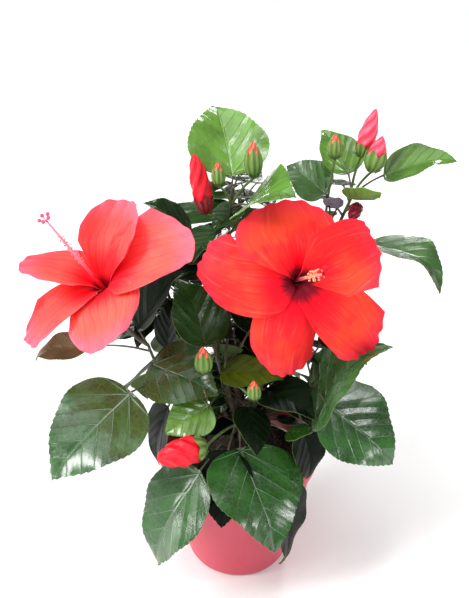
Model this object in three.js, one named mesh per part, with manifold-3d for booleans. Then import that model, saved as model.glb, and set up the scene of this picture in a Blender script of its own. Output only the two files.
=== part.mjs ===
// Potted hibiscus shrub: a plastic pot of soil, a short trunk, boughs, masses of leaves and two blooms.
// Millimetres, +Z up, +Y away from the viewer, origin at the centre of the pot's flat underside.
// Every direction is a turn (degrees from +X towards +Y) and a rise (degrees above level).
import * as THREE from 'three';
import { mergeVertices } from 'three/addons/utils/BufferGeometryUtils.js';
import Module from 'manifold-3d';

const wasm = await Module();
wasm.setup();

const GAP = 0.3; // clearance between neighbouring solids
const SMOOTH = 0.1; // joined solids lose the slivers that are finer than this

const POT = { base: 50, rim: 83, height: 128, wall: 3, floor: 4, band: 20, lip: 2.5, heel: 7, sides: 26 };
const DRAIN = { count: 6, radius: 5, ring: 30, sides: 8 };
const SOIL = { top: 112, edge: 108.5, flat: 20 };

const TRUNK = { turn: 70, rise: 86, length: 66, root: 7.5, tip: 5.5, flare: 11, flareHeight: 16, sides: 12 };

// Boughs leave the trunk at the fraction "at" of its length; the leader goes on from its tip.
const BOUGHS = [
  { name: 'bough_leader', at: 1, turn: 200, rise: 80, length: 120, sweep: 4, root: 4.6, tip: 2.6 },
  { name: 'bough_front', at: 0.8, turn: 310, rise: 46, length: 128, sweep: 34, root: 3.6, tip: 2.2 },
  { name: 'bough_top_right', at: 0.72, turn: 10, rise: 46, length: 148, sweep: 38, root: 3.8, tip: 2.4 },
  { name: 'bough_back_top', at: 0.76, turn: 92, rise: 44, length: 128, sweep: 42, root: 3.6, tip: 2.4 },
  { name: 'bough_centre', at: 0.6, turn: 250, rise: 46, length: 64, sweep: 24, root: 3, tip: 2.2 },
  { name: 'bough_right', at: 0.48, turn: 336, rise: 32, length: 62, sweep: 14, root: 3.2, tip: 2.2 },
  { name: 'bough_back_right', at: 0.5, turn: 44, rise: 36, length: 84, sweep: 20, root: 3.2, tip: 2.2 },
  { name: 'bough_back_left', at: 0.46, turn: 142, rise: 36, length: 84, sweep: 20, root: 3.2, tip: 2.2 },
  { name: 'bough_left', at: 0.36, turn: 202, rise: 36, length: 84, sweep: 14, root: 3.4, tip: 2.4 },
  { name: 'bough_low', at: 0.26, turn: 272, rise: 34, length: 50, sweep: 18, root: 3, tip: 2.1 },
  { name: 'bough_middle', at: 0.9, turn: 118, rise: 56, length: 58, sweep: 24, root: 3.2, tip: 2.4 },
  { name: 'bough_back_low', at: 0.24, turn: 96, rise: 32, length: 58, sweep: 16, root: 3, tip: 2.1 },
];
const BOUGH_SIDES = 6;
const BOUGH_STEPS = 4;

// A mass of foliage is one stem that goes on from its bough, the leaves and buds that are set on it by eye,
// and more that it grows by rule. "at" is a fraction of the stem, turn, rise and stalk lay the leafstalk,
// and swing, fall and length lay the blade from its base to its tip.
const MASSES = [
  {
    name: 'foliage_left', bough: 'bough_left', turn: 212, rise: 54, length: 68, sweep: 20,
    leaves: [
      { at: 0.79, turn: 132, rise: 44, stalk: 30, swing: 25, fall: 44, length: 71,
        wide: 0.9, roll: 0, arch: 0.11, fold: 0.31 },
      { at: 0.6, turn: 70, rise: 28, stalk: 22, swing: 41, fall: 76, length: 51,
        wide: 0.74, roll: 5, arch: 0.07, fold: 0.22 },
      { at: 0.5, turn: 246, rise: 46, stalk: 26, swing: 341, fall: -18, length: 67,
        wide: 0.95, roll: -35, arch: 0.08, fold: 0.08 },
      { at: 0.3, turn: 233, rise: 14, stalk: 49, swing: 217, fall: -36, length: 99,
        wide: 0.85, roll: 27, arch: 0.1, fold: 0.07 },
      { at: 0.9, turn: 166, rise: -2, stalk: 60, swing: 164, fall: -22, length: 64,
        wide: 0.57, roll: 22, arch: 0.15, fold: 0.2 },
      { at: 0.05, turn: 250, rise: -5, stalk: 21, swing: 223, fall: -77, length: 59,
        wide: 1.03, roll: -21, arch: 0.09, fold: 0.16 },
    ],
    buds: [],
    grows: { count: 6, from: 0.15, turn: 150, seed: 458, leaf: 60, before: -26 },
  },
  {
    name: 'foliage_top_left', bough: 'bough_leader', turn: 292, rise: 80, length: 100, sweep: -8,
    leaves: [
      { at: 0.92, turn: 25, rise: 86, stalk: 17, swing: 112, fall: 48, length: 71,
        wide: 1.01, roll: 3, arch: 0.12, fold: 0.18 },
      { at: 0.8, turn: 300, rise: 17, stalk: 30, swing: 308, fall: 15, length: 60,
        wide: 1.04, roll: -32, arch: 0.14, fold: 0.21 },
      { at: 0.72, turn: 30, rise: 31, stalk: 14, swing: 202, fall: -37, length: 35,
        wide: 0.97, roll: 13, arch: 0.08, fold: 0.21 },
      { at: 0.3, turn: 240, rise: 78, stalk: 29, swing: 230, fall: -30, length: 44,
        wide: 1.04, roll: -8, arch: 0.09, fold: 0.3 },
      { at: 0.1, turn: 152, rise: 48, stalk: 51, swing: 200, fall: 35, length: 54,
        wide: 0.85, roll: 26, arch: 0.08, fold: 0.12 },
    ],
    buds: [
      { at: 0.62, turn: 222, rise: 32, stalk: 29, swing: 202, fall: 78, length: 52, girth: 17 },
      { at: 0.85, turn: 246, rise: 38, stalk: 31, swing: 180, fall: 87, length: 20, girth: 11 },
      { at: 0.82, turn: 318, rise: 47, stalk: 38, swing: 180, fall: 87, length: 30, girth: 14 },
    ],
    grows: { count: 6, from: 0.1, turn: 95, seed: 213, leaf: 60, before: -6 },
  },
  {
    name: 'foliage_top_right', bough: 'bough_top_right', turn: 342, rise: 62, length: 102, sweep: 8,
    leaves: [
      { at: 0.55, turn: 228, rise: 73, stalk: 44, swing: 153, fall: 29, length: 44,
        wide: 0.95, roll: 40, arch: 0.11, fold: 0.21 },
      { at: 0.42, turn: 325, rise: 77, stalk: 41, swing: 242, fall: 26, length: 30,
        wide: 0.57, roll: -15, arch: 0.12, fold: 0.09 },
      { at: 0.95, turn: 105, rise: 65, stalk: 21, swing: 134, fall: 47, length: 48,
        wide: 1, roll: 11, arch: 0.08, fold: 0.17 },
      { at: 0.96, turn: 8, rise: 33, stalk: 33, swing: 343, fall: 14, length: 62,
        wide: 0.76, roll: -25, arch: 0.1, fold: 0.25 },
      { at: 0.25, turn: 324, rise: 31, stalk: 58, swing: 319, fall: -23, length: 77,
        wide: 0.74, roll: -1, arch: 0.22, fold: 0.24 },
      { at: 0.97, turn: 247, rise: -1, stalk: 13, swing: 296, fall: 17, length: 46,
        wide: 0.63, roll: 26, arch: 0, fold: 0.18 },
    ],
    buds: [
      { at: 0.35, turn: 280, rise: 76, stalk: 96, swing: 180, fall: 87, length: 21, girth: 12 },
      { at: 0.93, turn: 315, rise: 78, stalk: 39, swing: 0, fall: 76, length: 42, girth: 16 },
      { at: 0.95, turn: 298, rise: 47, stalk: 36, swing: 0, fall: 76, length: 31, girth: 17 },
      { at: 0.8, turn: 311, rise: 38, stalk: 19, swing: 211, fall: -67, length: 19, girth: 12 },
    ],
    grows: { count: 6, from: 0.1, turn: 60, seed: 185, leaf: 60, before: 12 },
  },
  {
    name: 'foliage_centre', bough: 'bough_centre', turn: 242, rise: 60, length: 62, sweep: 12,
    leaves: [
      { at: 0.95, turn: 239, rise: 19, stalk: 13, swing: 124, fall: 44, length: 69,
        wide: 0.91, roll: -14, arch: 0.1, fold: 0.16 },
      { at: 0.7, turn: 335, rise: -77, stalk: 13, swing: 355, fall: -5, length: 57,
        wide: 0.7, roll: -19, arch: 0.08, fold: 0.12 },
      { at: 0.06, turn: 246, rise: -2, stalk: 36, swing: 207, fall: -22, length: 47,
        wide: 0.9, roll: 40, arch: 0.08, fold: 0.1 },
      { at: 0.3, turn: 344, rise: -11, stalk: 41, swing: 320, fall: -11, length: 55,
        wide: 0.93, roll: -8, arch: 0.11, fold: 0.25 },
    ],
    buds: [
      { at: 0.8, turn: 256, rise: -2, stalk: 37, swing: 180, fall: 88, length: 25, girth: 14 },
      { at: 0.25, turn: 298, rise: 6, stalk: 58, swing: 180, fall: 87, length: 19, girth: 11 },
    ],
    grows: { count: 2, from: 0.3, turn: 180, seed: 563, leaf: 50, before: -50 },
  },
  {
    name: 'foliage_low_front', bough: 'bough_low', turn: 265, rise: 48, length: 40, sweep: 20,
    leaves: [
      { at: 0.3, turn: 229, rise: -20, stalk: 58, swing: 201, fall: -66, length: 101,
        wide: 0.79, roll: 15, arch: 0.14, fold: 0.14 },
      { at: 0.8, turn: 273, rise: -46, stalk: 28, swing: 296, fall: -45, length: 94,
        wide: 1.03, roll: 12, arch: 0.07, fold: 0.1 },
      { at: 0.85, turn: 246, rise: -43, stalk: 33, swing: 251, fall: -75, length: 73,
        wide: 0.72, roll: 0, arch: 0.05, fold: 0.05 },
      { at: 0.1, turn: 322, rise: -34, stalk: 72, swing: 337, fall: -96, length: 90,
        wide: 0.61, roll: -6, arch: 0.06, fold: 0.16 },
      { at: 0.88, turn: 333, rise: -5, stalk: 48, swing: 327, fall: 18, length: 26,
        wide: 0.97, roll: -9, arch: 0.02, fold: -0.08 },
    ],
    buds: [
      { at: 0.5, turn: 241, rise: 9, stalk: 59, swing: 199, fall: -6, length: 44, girth: 25 },
    ],
    grows: { count: 1, from: 0.3, turn: 20, seed: 843, leaf: 50 },
  },
  {
    name: 'foliage_right', bough: 'bough_right', turn: 316, rise: 42, length: 54, sweep: 14,
    leaves: [
      { at: 0.23, turn: 288, rise: -30, stalk: 30, swing: 311, fall: -83, length: 55,
        wide: 0.83, roll: 5, arch: 0.12, fold: 0.12 },
      { at: 0.55, turn: 291, rise: -36, stalk: 27, swing: 348, fall: 50, length: 101,
        wide: 0.9, roll: -16, arch: 0.14, fold: 0.26 },
      { at: 0.8, turn: 289, rise: -4, stalk: 32, swing: 344, fall: -40, length: 81,
        wide: 0.94, roll: -35, arch: 0.08, fold: 0.19 },
    ],
    buds: [],
    grows: { count: 6, from: 0.1, turn: 10, seed: 808, leaf: 62, before: -40 },
  },
  {
    name: 'foliage_middle', bough: 'bough_middle', turn: 150, rise: 78, length: 84, sweep: 4,
    leaves: [], buds: [],
    grows: { count: 12, from: 0, turn: 100, seed: 1088, leaf: 56, before: -30 },
  },
  {
    name: 'foliage_back_left', bough: 'bough_back_left', turn: 136, rise: 54, length: 108, sweep: 14,
    leaves: [], buds: [],
    grows: { count: 13, from: 0, turn: 178, seed: 94, leaf: 86, twigs: 2 },
  },
  {
    name: 'foliage_back_right', bough: 'bough_back_right', turn: 46, rise: 54, length: 108, sweep: 14,
    leaves: [], buds: [],
    grows: { count: 11, from: 0, turn: 20, seed: 892, leaf: 86, twigs: 2 },
  },
  {
    name: 'foliage_back_top', bough: 'bough_back_top', turn: 86, rise: 74, length: 92, sweep: 6,
    leaves: [], buds: [],
    grows: { count: 16, from: 0, turn: 66, seed: 157, leaf: 84, twigs: 2 },
  },
  {
    name: 'foliage_back_low', bough: 'bough_back_low', turn: 92, rise: 40, length: 44, sweep: 20,
    leaves: [], buds: [],
    grows: { count: 8, from: 0, turn: 140, seed: 871, leaf: 80 },
  },
];

// The rule that grows the other leaves up a stem, and the clearance they keep.
const DIVERGENCE = 137.5; // degrees from one leaf round to the next
const GROWN_TOP = 0.9; // how far up its stem the last of them sits
const TRIES = 30;
const LEAF_CLEARANCE = 8;
const POT_CLEARANCE = 7;
const TWIG = { length: 46, rise: 40, root: 1.7, tip: 1.2, leaves: 3 };

const STEM = { root: 2.2, tip: 1.5, sides: 6 };
const STEM_STEPS = 4;
const STALK = { root: 1.5, tip: 0.9, bow: 24 };
const SET_STALK = { sides: 3, segments: 2 };
const GROWN_STALK = { sides: 3, segments: 1 };
const BUD_SIDES = 6;
const BLADE = { thick: 2.4, thin: 1.1, wide: 0.74, arch: 0.08, fold: 0.12, sunk: 3 };
// Half width of a blade, as a share of its greatest, at fractions of its length.
const BLADE_OUTLINE = [[0, 0.36], [0.1, 0.84], [0.34, 1], [0.68, 0.7], [1, 0.04]];
// Rows and columns of faces of a blade: those set by eye are creased, those grown by rule are flat across.
const SET_BLADE = { rows: [0, 0.1, 0.34, 0.68, 1], columns: 2 };
const GROWN_BLADE = { rows: [0, 0.14, 0.55, 1], columns: 1 };

// A bloom faces along turn and rise from its seat at the end of its stalk. A petal lies at the angle "round"
// the face, from the right as one looks into it, reaches out from the throat and lies "open" from the axis.
// "wide" scales its breadth, "trim" takes its corners off, "skew" turns its tip aside, "cup" lifts its edges.
const BLOOMS = [
  {
    name: 'bloom_right', bough: 'bough_front',
    stalk: { turn: 275.3, rise: 97.5, length: 60.2, sweep: -72.3, veer: 7.1 },
    turn: 286, rise: 12, tube: 10, turnOut: 16,
    petals: [
      { round: 182, reach: 82, open: 124, wide: 0.76, trim: 0.16, skew: -17, cup: -0.01 },
      { round: 98, reach: 67, open: 122, wide: 1.5, trim: 0.09, skew: 0, cup: 0.14 },
      { round: 37, reach: 69, open: 88, wide: 1.1, trim: 0.13, skew: -10, cup: 0.2 },
      { round: -41, reach: 97, open: 109, wide: 0.57, trim: 0.27, skew: -3, cup: 0.11 },
      { round: 252, reach: 86, open: 118, wide: 0.79, trim: 0.11, skew: 11, cup: -0.2 },
    ],
    column: { turn: 284, rise: 23, length: 66 },
  },
  {
    name: 'bloom_left', mass: 'foliage_left',
    stalk: { turn: 201, rise: 37.9, length: 59.3, sweep: 38.6, veer: -33.9 },
    turn: 247, rise: 53, tube: 10, turnOut: 20,
    petals: [
      { round: 23, reach: 93, open: 84, wide: 0.85, trim: 0.19, skew: 0, cup: 0.19 },
      { round: 80, reach: 76, open: 66, wide: 0.87, trim: 0.32, skew: -3, cup: 0.2 },
      { round: 183, reach: 70, open: 59, wide: 0.74, trim: 0.52, skew: 15, cup: 0.09 },
      { round: 239, reach: 80, open: 96, wide: 0.59, trim: 0.34, skew: 7, cup: 0.1 },
      { round: 313, reach: 89, open: 80, wide: 0.8, trim: 0.4, skew: -9, cup: -0.09 },
    ],
    column: { turn: 234, rise: 53, length: 92 },
  },
];
const PETAL = { thick: 1.2, claw: 5, half: 0.48, spread: 0.95, inner: 18, lift: 4, rows: 4, columns: 3 };
const CALYX = { radius: 9, foot: 2.4, sides: 10 };
const COLUMN = { root: 2.4, tip: 1.3, sides: 5, anther: 3, stigmas: 4.5 };
const ANTHERS = { count: 6, from: 0.68, to: 0.89, out: 2.4 };

const FINISH = {
  pot: { color: 0xd4606a, roughness: 0.45 },
  soil: { color: 0x2c211a, roughness: 1 },
  bark: { color: 0x6b5a45, roughness: 0.85 },
  leaf: { color: 0x1f5a25, roughness: 0.35 },
  petal: { color: 0xf04030, roughness: 0.6 },
};

const radians = THREE.MathUtils.degToRad;
const mix = THREE.MathUtils.lerp;

/** The unit vector that points along a turn and a rise. */
function heading(turn, rise) {
  const level = Math.cos(radians(rise));
  return new THREE.Vector3(
    level * Math.cos(radians(turn)), level * Math.sin(radians(turn)), Math.sin(radians(rise)));
}

/** A line that grows from start, its turn and rise changing evenly by veer and sweep, as a list of places. */
function walk(start, { turn, rise, length, veer = 0, sweep = 0 }, steps = 12) {
  const places = [{ point: start.clone(), turn, rise }];
  for (let i = 0; i < steps; i++) {
    const middle = (i + 0.5) / steps;
    const end = (i + 1) / steps;
    const point = places[i].point.clone();
    point.addScaledVector(heading(turn + veer * middle, rise + sweep * middle), length / steps);
    places.push({ point, turn: turn + veer * end, rise: rise + sweep * end });
  }
  return places;
}

/** The place at a fraction of a walked line. */
function along(line, fraction) {
  const x = THREE.MathUtils.clamp(fraction, 0, 1) * (line.length - 1);
  const i = Math.min(Math.floor(x), line.length - 2);
  const [a, b] = [line[i], line[i + 1]];
  return {
    point: a.point.clone().lerp(b.point, x - i),
    turn: mix(a.turn, b.turn, x - i),
    rise: mix(a.rise, b.rise, x - i),
  };
}

/** A closed three.js geometry as a solid that can be joined and cut. */
function solid(geometry) {
  const bare = geometry.clone();
  bare.deleteAttribute('normal');
  bare.deleteAttribute('uv');
  const welded = mergeVertices(bare, 1e-4);
  return new wasm.Manifold(new wasm.Mesh({
    numProp: 3,
    vertProperties: new Float32Array(welded.attributes.position.array),
    triVerts: new Uint32Array(welded.index.array),
  }));
}

/** The largest piece of a joined solid: hollows that joining sealed are filled and loose scraps dropped. */
function whole(body) {
  return body.simplify(SMOOTH).decompose().sort((a, b) => b.volume() - a.volume())[0];
}

/** A joined solid as a named mesh of the scene. */
function sculpt(name, body, finish) {
  const { vertProperties, triVerts, numProp } = whole(body).getMesh();
  const geometry = new THREE.BufferGeometry();
  geometry.setAttribute('position', new THREE.BufferAttribute(new Float32Array(vertProperties), numProp));
  geometry.setIndex(new THREE.BufferAttribute(new Uint32Array(triVerts), 1));
  geometry.computeVertexNormals();
  const mesh = new THREE.Mesh(geometry, new THREE.MeshStandardMaterial({ ...finish, metalness: 0 }));
  mesh.name = name;
  return mesh;
}

/** Moves every vertex of a geometry by a function of its position. */
function shaped(geometry, place) {
  const position = geometry.attributes.position;
  const vertex = new THREE.Vector3();
  for (let i = 0; i < position.count; i++) {
    const { x, y, z } = place(vertex.fromBufferAttribute(position, i));
    position.setXYZ(i, x, y, z);
  }
  return geometry;
}

/** A tapering round limb along a walked line; radius is a function of the fraction along it. */
function limb(line, radius, sides, segments) {
  const rod = new THREE.CylinderGeometry(1, 1, 1, sides, segments);
  shaped(rod, (v) => {
    const fraction = v.y + 0.5;
    const { point, turn, rise } = along(line, fraction);
    const out = radius(fraction);
    return point.addScaledVector(heading(turn - 90, 0), v.x * out)
      .addScaledVector(heading(turn, rise + 90), v.z * out);
  });
  return solid(rod);
}

/** A radius that tapers evenly from root to tip. */
const taper = (root, tip) => (fraction) => mix(root, tip, fraction);

/** The places of a leafstalk or flower stalk: a shallow arc that ends at its chord's far end. */
function stalkLine(stem, { at, turn, rise, stalk }) {
  const start = along(stem, at).point;
  return walk(start, { turn, rise: rise + STALK.bow / 2, length: stalk, sweep: -STALK.bow }, 4);
}

/** A leafstalk or flower stalk along its line. */
function stalk(line, { sides, segments }) {
  return limb(line, taper(STALK.root, STALK.tip), sides, segments);
}

/** The half width of a blade at a fraction of its length, as a share of its greatest half width. */
function outline(fraction) {
  const next = BLADE_OUTLINE.findIndex(([where]) => where >= fraction);
  if (next <= 0) return BLADE_OUTLINE[0][1];
  const [[a, from], [b, to]] = [BLADE_OUTLINE[next - 1], BLADE_OUTLINE[next]];
  return mix(from, to, (fraction - a) / (b - a));
}

/** The surface of a blade: a function of a fraction along it, a side from -1 to 1 and a height off it. */
function bladeSurface(base, row) {
  const { swing, fall, length, wide = BLADE.wide, roll = 0, arch = BLADE.arch, fold = BLADE.fold } = row;
  const ahead = heading(swing, fall);
  const level = heading(swing - 90, 0);
  const above = level.clone().cross(ahead);
  const side = level.clone().multiplyScalar(Math.cos(radians(roll)))
    .addScaledVector(above, Math.sin(radians(roll)));
  const up = side.clone().cross(ahead);
  return (fraction, across, height) => {
    const reach = mix(-BLADE.sunk, length, fraction);
    const half = outline(fraction) * length * wide / 2;
    const rise = arch * length * 6.75 * fraction ** 2 * (1 - fraction) + fold * half * Math.abs(across);
    return base.clone().addScaledVector(ahead, reach).addScaledVector(side, half * across)
      .addScaledVector(up, rise + height);
  };
}

/** A leaf blade as a thin solid, thickest at its base, with a row of faces between each two fractions. */
function blade(surface, { rows, columns }) {
  const sheet = new THREE.BoxGeometry(1, 1, 1, rows.length - 1, columns, 1);
  shaped(sheet, (v) => {
    const fraction = rows[Math.round((v.x + 0.5) * (rows.length - 1))];
    const thick = mix(BLADE.thick, BLADE.thin, Math.min(1, 3 * fraction));
    return surface(fraction, -2 * v.y, v.z * thick);
  });
  return solid(sheet);
}

/** Points over a blade that stand for it when another leaf is kept clear of it. */
function bladePoints(surface) {
  const points = [];
  for (const fraction of [0.1, 0.25, 0.4, 0.55, 0.7, 0.85, 1]) {
    for (const across of [-0.9, -0.45, 0, 0.45, 0.9]) points.push(surface(fraction, across, 0));
  }
  return points;
}

/** A spindle of revolution from a base along a direction, as a bud, a calyx or an anther. */
function spindle(base, turn, rise, profile, sides) {
  const lathe = new THREE.LatheGeometry(profile.map(([r, h]) => new THREE.Vector2(r, h)), sides);
  const [ahead, side, up] = [heading(turn, rise), heading(turn - 90, 0), heading(turn, rise + 90)];
  shaped(lathe, (v) => base.clone().addScaledVector(ahead, v.y)
    .addScaledVector(side, v.x).addScaledVector(up, v.z));
  return solid(lathe);
}

/** A flower bud on its stalk. */
function bud(stem, row) {
  const line = stalkLine(stem, row);
  const half = row.girth / 2;
  const profile = [[0, -2], [0.6 * half, 0], [half, 0.3], [0.62 * half, 0.75], [0, 1]]
    .map(([r, h]) => [r, h > 0 ? h * row.length : h]);
  return [
    stalk(line, SET_STALK),
    spindle(line.at(-1).point, row.swing, row.fall, profile, BUD_SIDES),
  ];
}

/** A repeatable stream of numbers from 0 to 1. */
function dice(seed) {
  let state = seed;
  return () => {
    state = (state * 16807) % 2147483647;
    return state / 2147483647;
  };
}

/** True where a point is clear of the pot, inside and out. */
function clearOfPot(point) {
  const wide = Math.hypot(point.x, point.y);
  const wall = mix(POT.base, POT.rim, point.z / POT.height) + POT_CLEARANCE;
  return point.z > POT.height + POT_CLEARANCE || (wide > wall && point.z > POT_CLEARANCE);
}

const trunkLine = walk(new THREE.Vector3(0, 0, SOIL.top), TRUNK);
const boughLines = new Map(BOUGHS.map((row) => [row.name, walk(along(trunkLine, row.at).point, row)]));
const stemLines = new Map(MASSES.map((row) => [row.name, walk(boughLines.get(row.bough).at(-1).point, row)]));

/** The name of the mass whose stem is nearest to a point: the crown is shared out that way. */
function owner(point) {
  let best = { distance: Infinity, name: '' };
  for (const [name, line] of stemLines) {
    for (const place of line) {
      const distance = place.point.distanceTo(point);
      if (distance < best.distance) best = { distance, name };
    }
  }
  return best.name;
}

const taken = []; // points of every leaf and petal that is already in place

/** True where a point keeps clear of every leaf and petal that is already in place. */
function clear(point) {
  return taken.every((other) => other.distanceTo(point) > LEAF_CLEARANCE);
}

/** True where a blade keeps clear of the pot and other leaves and its middle is in its own mass's space. */
function fits(name, points, before) {
  if (!points.every((point) => clearOfPot(point) && point.y > before)) return false;
  if (owner(points[Math.floor(points.length / 2)]) !== name) return false;
  return points.every(clear);
}

/** The leaves that a stem grows by rule: each turns on from the last; one that finds no room is skipped. */
function grow(name, stem, rule, roll) {
  const rows = [];
  for (let i = 0; i < rule.count; i++) {
    const at = mix(rule.from, GROWN_TOP, (i + 1) / rule.count);
    for (let attempt = 0; attempt < TRIES; attempt++) {
      const turn = rule.turn + i * DIVERGENCE + (roll() - 0.5) * (30 + 8 * attempt);
      const row = {
        at,
        turn,
        rise: mix(8, 50, at) + (roll() - 0.5) * 30,
        stalk: mix(34, 16, at) * (0.8 + 0.5 * roll()),
        swing: turn + (roll() - 0.5) * 50,
        fall: mix(-50, -12, at) + (roll() - 0.5) * 36,
        length: rule.leaf * mix(1, 0.8, at) * (0.85 + 0.3 * roll()),
        roll: (roll() - 0.5) * 40,
        fold: 0,
      };
      const line = stalkLine(stem, row);
      const points = bladePoints(bladeSurface(line.at(-1).point, row));
      if (clear(line[2].point) && fits(name, points, rule.before ?? -Infinity)) {
        taken.push(...points, line[2].point);
        rows.push(row);
        break;
      }
    }
  }
  return rows;
}

/** Side twigs that a mass's stem grows by rule, with the leaves on them. */
function growTwigs(name, stem, rule, roll) {
  const twigs = [];
  for (let i = 0; i < (rule.twigs ?? 0); i++) {
    const at = mix(0.2, 0.6, (i + 0.5) / rule.twigs);
    const turn = rule.turn + 70 + i * 180 + (roll() - 0.5) * 30;
    const line = walk(along(stem, at).point, { turn, rise: TWIG.rise, length: TWIG.length, sweep: 20 }, 6);
    const leaves = grow(name, line, { ...rule, count: TWIG.leaves, from: 0.1, turn: turn + 60 }, roll);
    twigs.push({ line, leaves });
  }
  return twigs;
}

/** All the solids of one leaf: its stalk and its blade, plainer where it is grown by rule. */
function leaf(stem, row, grown = false) {
  const line = stalkLine(stem, row);
  return [
    stalk(line, grown ? GROWN_STALK : SET_STALK),
    blade(bladeSurface(line.at(-1).point, row), grown ? GROWN_BLADE : SET_BLADE),
  ];
}

/** The line of a bloom's stalk, from the tip of what carries it. */
function bloomStalk(row) {
  const carrier = row.bough ? boughLines.get(row.bough) : stemLines.get(row.mass);
  return walk(carrier.at(-1).point, row.stalk);
}

/** The surface of one petal: it leaves the tube near the axis, turns out and lies open. */
function petalSurface(throat, { turn, rise, turnOut }, row) {
  const { round, reach, open, wide, trim, skew, cup } = row;
  const axis = heading(turn, rise);
  const up = heading(turn, rise + 90);
  const right = up.clone().cross(axis);
  return (fraction, across, height) => {
    const arc = reach * fraction * (1 - trim * Math.abs(across) ** 3 * fraction ** 2);
    const [out, ahead, slope] = meridian(arc, open, turnOut);
    const half = petalHalf(arc / reach) * wide * reach;
    const spread = Math.min(half / out, PETAL.spread);
    const angle = radians(round + skew * fraction ** 2) + across * spread;
    const twist = PETAL.lift * across * (0.3 + 0.7 * fraction);
    const lift = height + twist + cup * reach * across ** 2 * fraction;
    const radial = right.clone().multiplyScalar(Math.cos(angle)).addScaledVector(up, Math.sin(angle));
    return throat.clone().addScaledVector(axis, ahead + lift * Math.sin(slope))
      .addScaledVector(radial, out - lift * Math.cos(slope));
  };
}

/** Half width of a petal as a share of its reach. */
function petalHalf(fraction) {
  return PETAL.half * Math.sin(Math.PI * Math.min(0.08 + 0.72 * fraction, 0.5)) * (1 - 0.12 * fraction ** 4);
}

/** Distance from the axis, height along it and slope, at an arc length along a petal. */
function meridian(arc, open, turnOut) {
  const steps = 12;
  let [out, height, slope] = [PETAL.claw * 0.8, 0, 0];
  for (let i = 0; i < steps; i++) {
    const here = (arc * (i + 0.5)) / steps;
    slope = radians(mix(PETAL.inner, open, 1 - Math.exp(-here / turnOut)));
    out += Math.sin(slope) * arc / steps;
    height += Math.cos(slope) * arc / steps;
  }
  return [out, height, slope];
}

/** A petal as a thin solid. */
function petal(surface) {
  const sheet = new THREE.BoxGeometry(1, 1, 1, PETAL.rows, PETAL.columns, 1);
  return solid(shaped(sheet, (v) => surface(v.x + 0.5, 2 * v.y, v.z * PETAL.thick)));
}

/** One bloom: stalk, calyx, tube, petals and the column with its anthers and stigmas. */
function bloom(row) {
  const line = bloomStalk(row);
  const seat = line.at(-1).point;
  const axis = heading(row.turn, row.rise);
  const throat = seat.clone().addScaledVector(axis, row.tube);
  const column = walk(throat.clone().addScaledVector(axis, -4), row.column);
  const calyx = [
    [0, -3], [CALYX.foot, -3], [CALYX.radius * 0.7, 3], [CALYX.radius, row.tube + 4], [0, row.tube],
  ];
  const parts = [
    limb(line, taper(1.9, 2), SET_STALK.sides, 4),
    spindle(seat, row.turn, row.rise, calyx, CALYX.sides),
    limb(column, taper(COLUMN.root, COLUMN.tip), COLUMN.sides, 3),
    ...row.petals.map((each) => petal(petalSurface(throat, row, each))),
  ];
  const { count, from, to, out } = ANTHERS;
  for (let i = 0; i < count; i++) {
    const { point } = along(column, mix(from, to, i / (count - 1)));
    const angle = radians(i * DIVERGENCE);
    point.addScaledVector(heading(row.column.turn + 90, 0), out * Math.cos(angle));
    point.addScaledVector(heading(row.column.turn, row.column.rise + 90), out * Math.sin(angle));
    parts.push(solid(new THREE.OctahedronGeometry(COLUMN.anther, 0).translate(point.x, point.y, point.z)));
  }
  const tip = column.at(-1).point;
  parts.push(solid(new THREE.IcosahedronGeometry(COLUMN.stigmas, 0).translate(tip.x, tip.y, tip.z)));
  return parts;
}

/** The pot: a tapering wall with a band under its lip, a rounded heel and holes in its floor. */
function pot() {
  const { base, rim, height, wall, floor, band, lip, heel, sides } = POT;
  const slope = (z) => mix(base, rim - lip, z / height);
  const profile = [
    [0, 0], [base - heel, 0], [base - heel * 0.35, heel * 0.3], [slope(heel), heel],
    [slope(height - band), height - band], [slope(height - band) + lip, height - band],
    [rim, height], [slope(height) - wall, height], [slope(floor) - wall, floor], [0, floor],
  ];
  let body = lathed(profile, sides);
  for (let i = 0; i < DRAIN.count; i++) {
    const angle = (i * 2 * Math.PI) / DRAIN.count;
    const hole = new THREE.CylinderGeometry(DRAIN.radius, DRAIN.radius, 3 * floor, DRAIN.sides);
    hole.rotateX(Math.PI / 2).translate(DRAIN.ring * Math.cos(angle), DRAIN.ring * Math.sin(angle), 0);
    body = body.subtract(solid(hole));
  }
  return body;
}

/** The soil that fills the pot, flat round the trunk and a little lower at the wall. */
function soil() {
  const inside = (z) => mix(POT.base, POT.rim - POT.lip, z / POT.height) - POT.wall - GAP;
  return lathed([
    [0, POT.floor + GAP], [inside(POT.floor) - 0.2, POT.floor + GAP], [inside(SOIL.edge) - 0.2, SOIL.edge],
    [SOIL.flat * 2, SOIL.top - GAP - 0.6], [SOIL.flat, SOIL.top - GAP], [0, SOIL.top - GAP],
  ], POT.sides);
}

/** A solid of revolution about the vertical axis. */
function lathed(profile, sides) {
  const lathe = new THREE.LatheGeometry(profile.map(([r, z]) => new THREE.Vector2(r, z)), sides);
  return solid(lathe.rotateX(Math.PI / 2));
}

/** The trunk's radius at a fraction of its length, with its root flare, fattened by a clearance. */
const trunkRadius = (clearance = 0) => (fraction) => {
  const flare = Math.max(0, 1 - (fraction * TRUNK.length) / TRUNK.flareHeight) ** 2;
  return mix(TRUNK.root, TRUNK.tip, fraction) + (TRUNK.flare - TRUNK.root) * flare + clearance;
};

/** The trunk, cut flat at the soil. */
function trunk() {
  const body = limb(trunkLine, trunkRadius(), TRUNK.sides, 10);
  const below = new THREE.BoxGeometry(60, 60, 20).translate(0, 0, SOIL.top - 10);
  return body.subtract(solid(below));
}

const trunkSleeve = limb(walk(new THREE.Vector3(0, 0, SOIL.top), { ...TRUNK, length: TRUNK.length + GAP }),
  trunkRadius(GAP), TRUNK.sides, 10);

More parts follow.
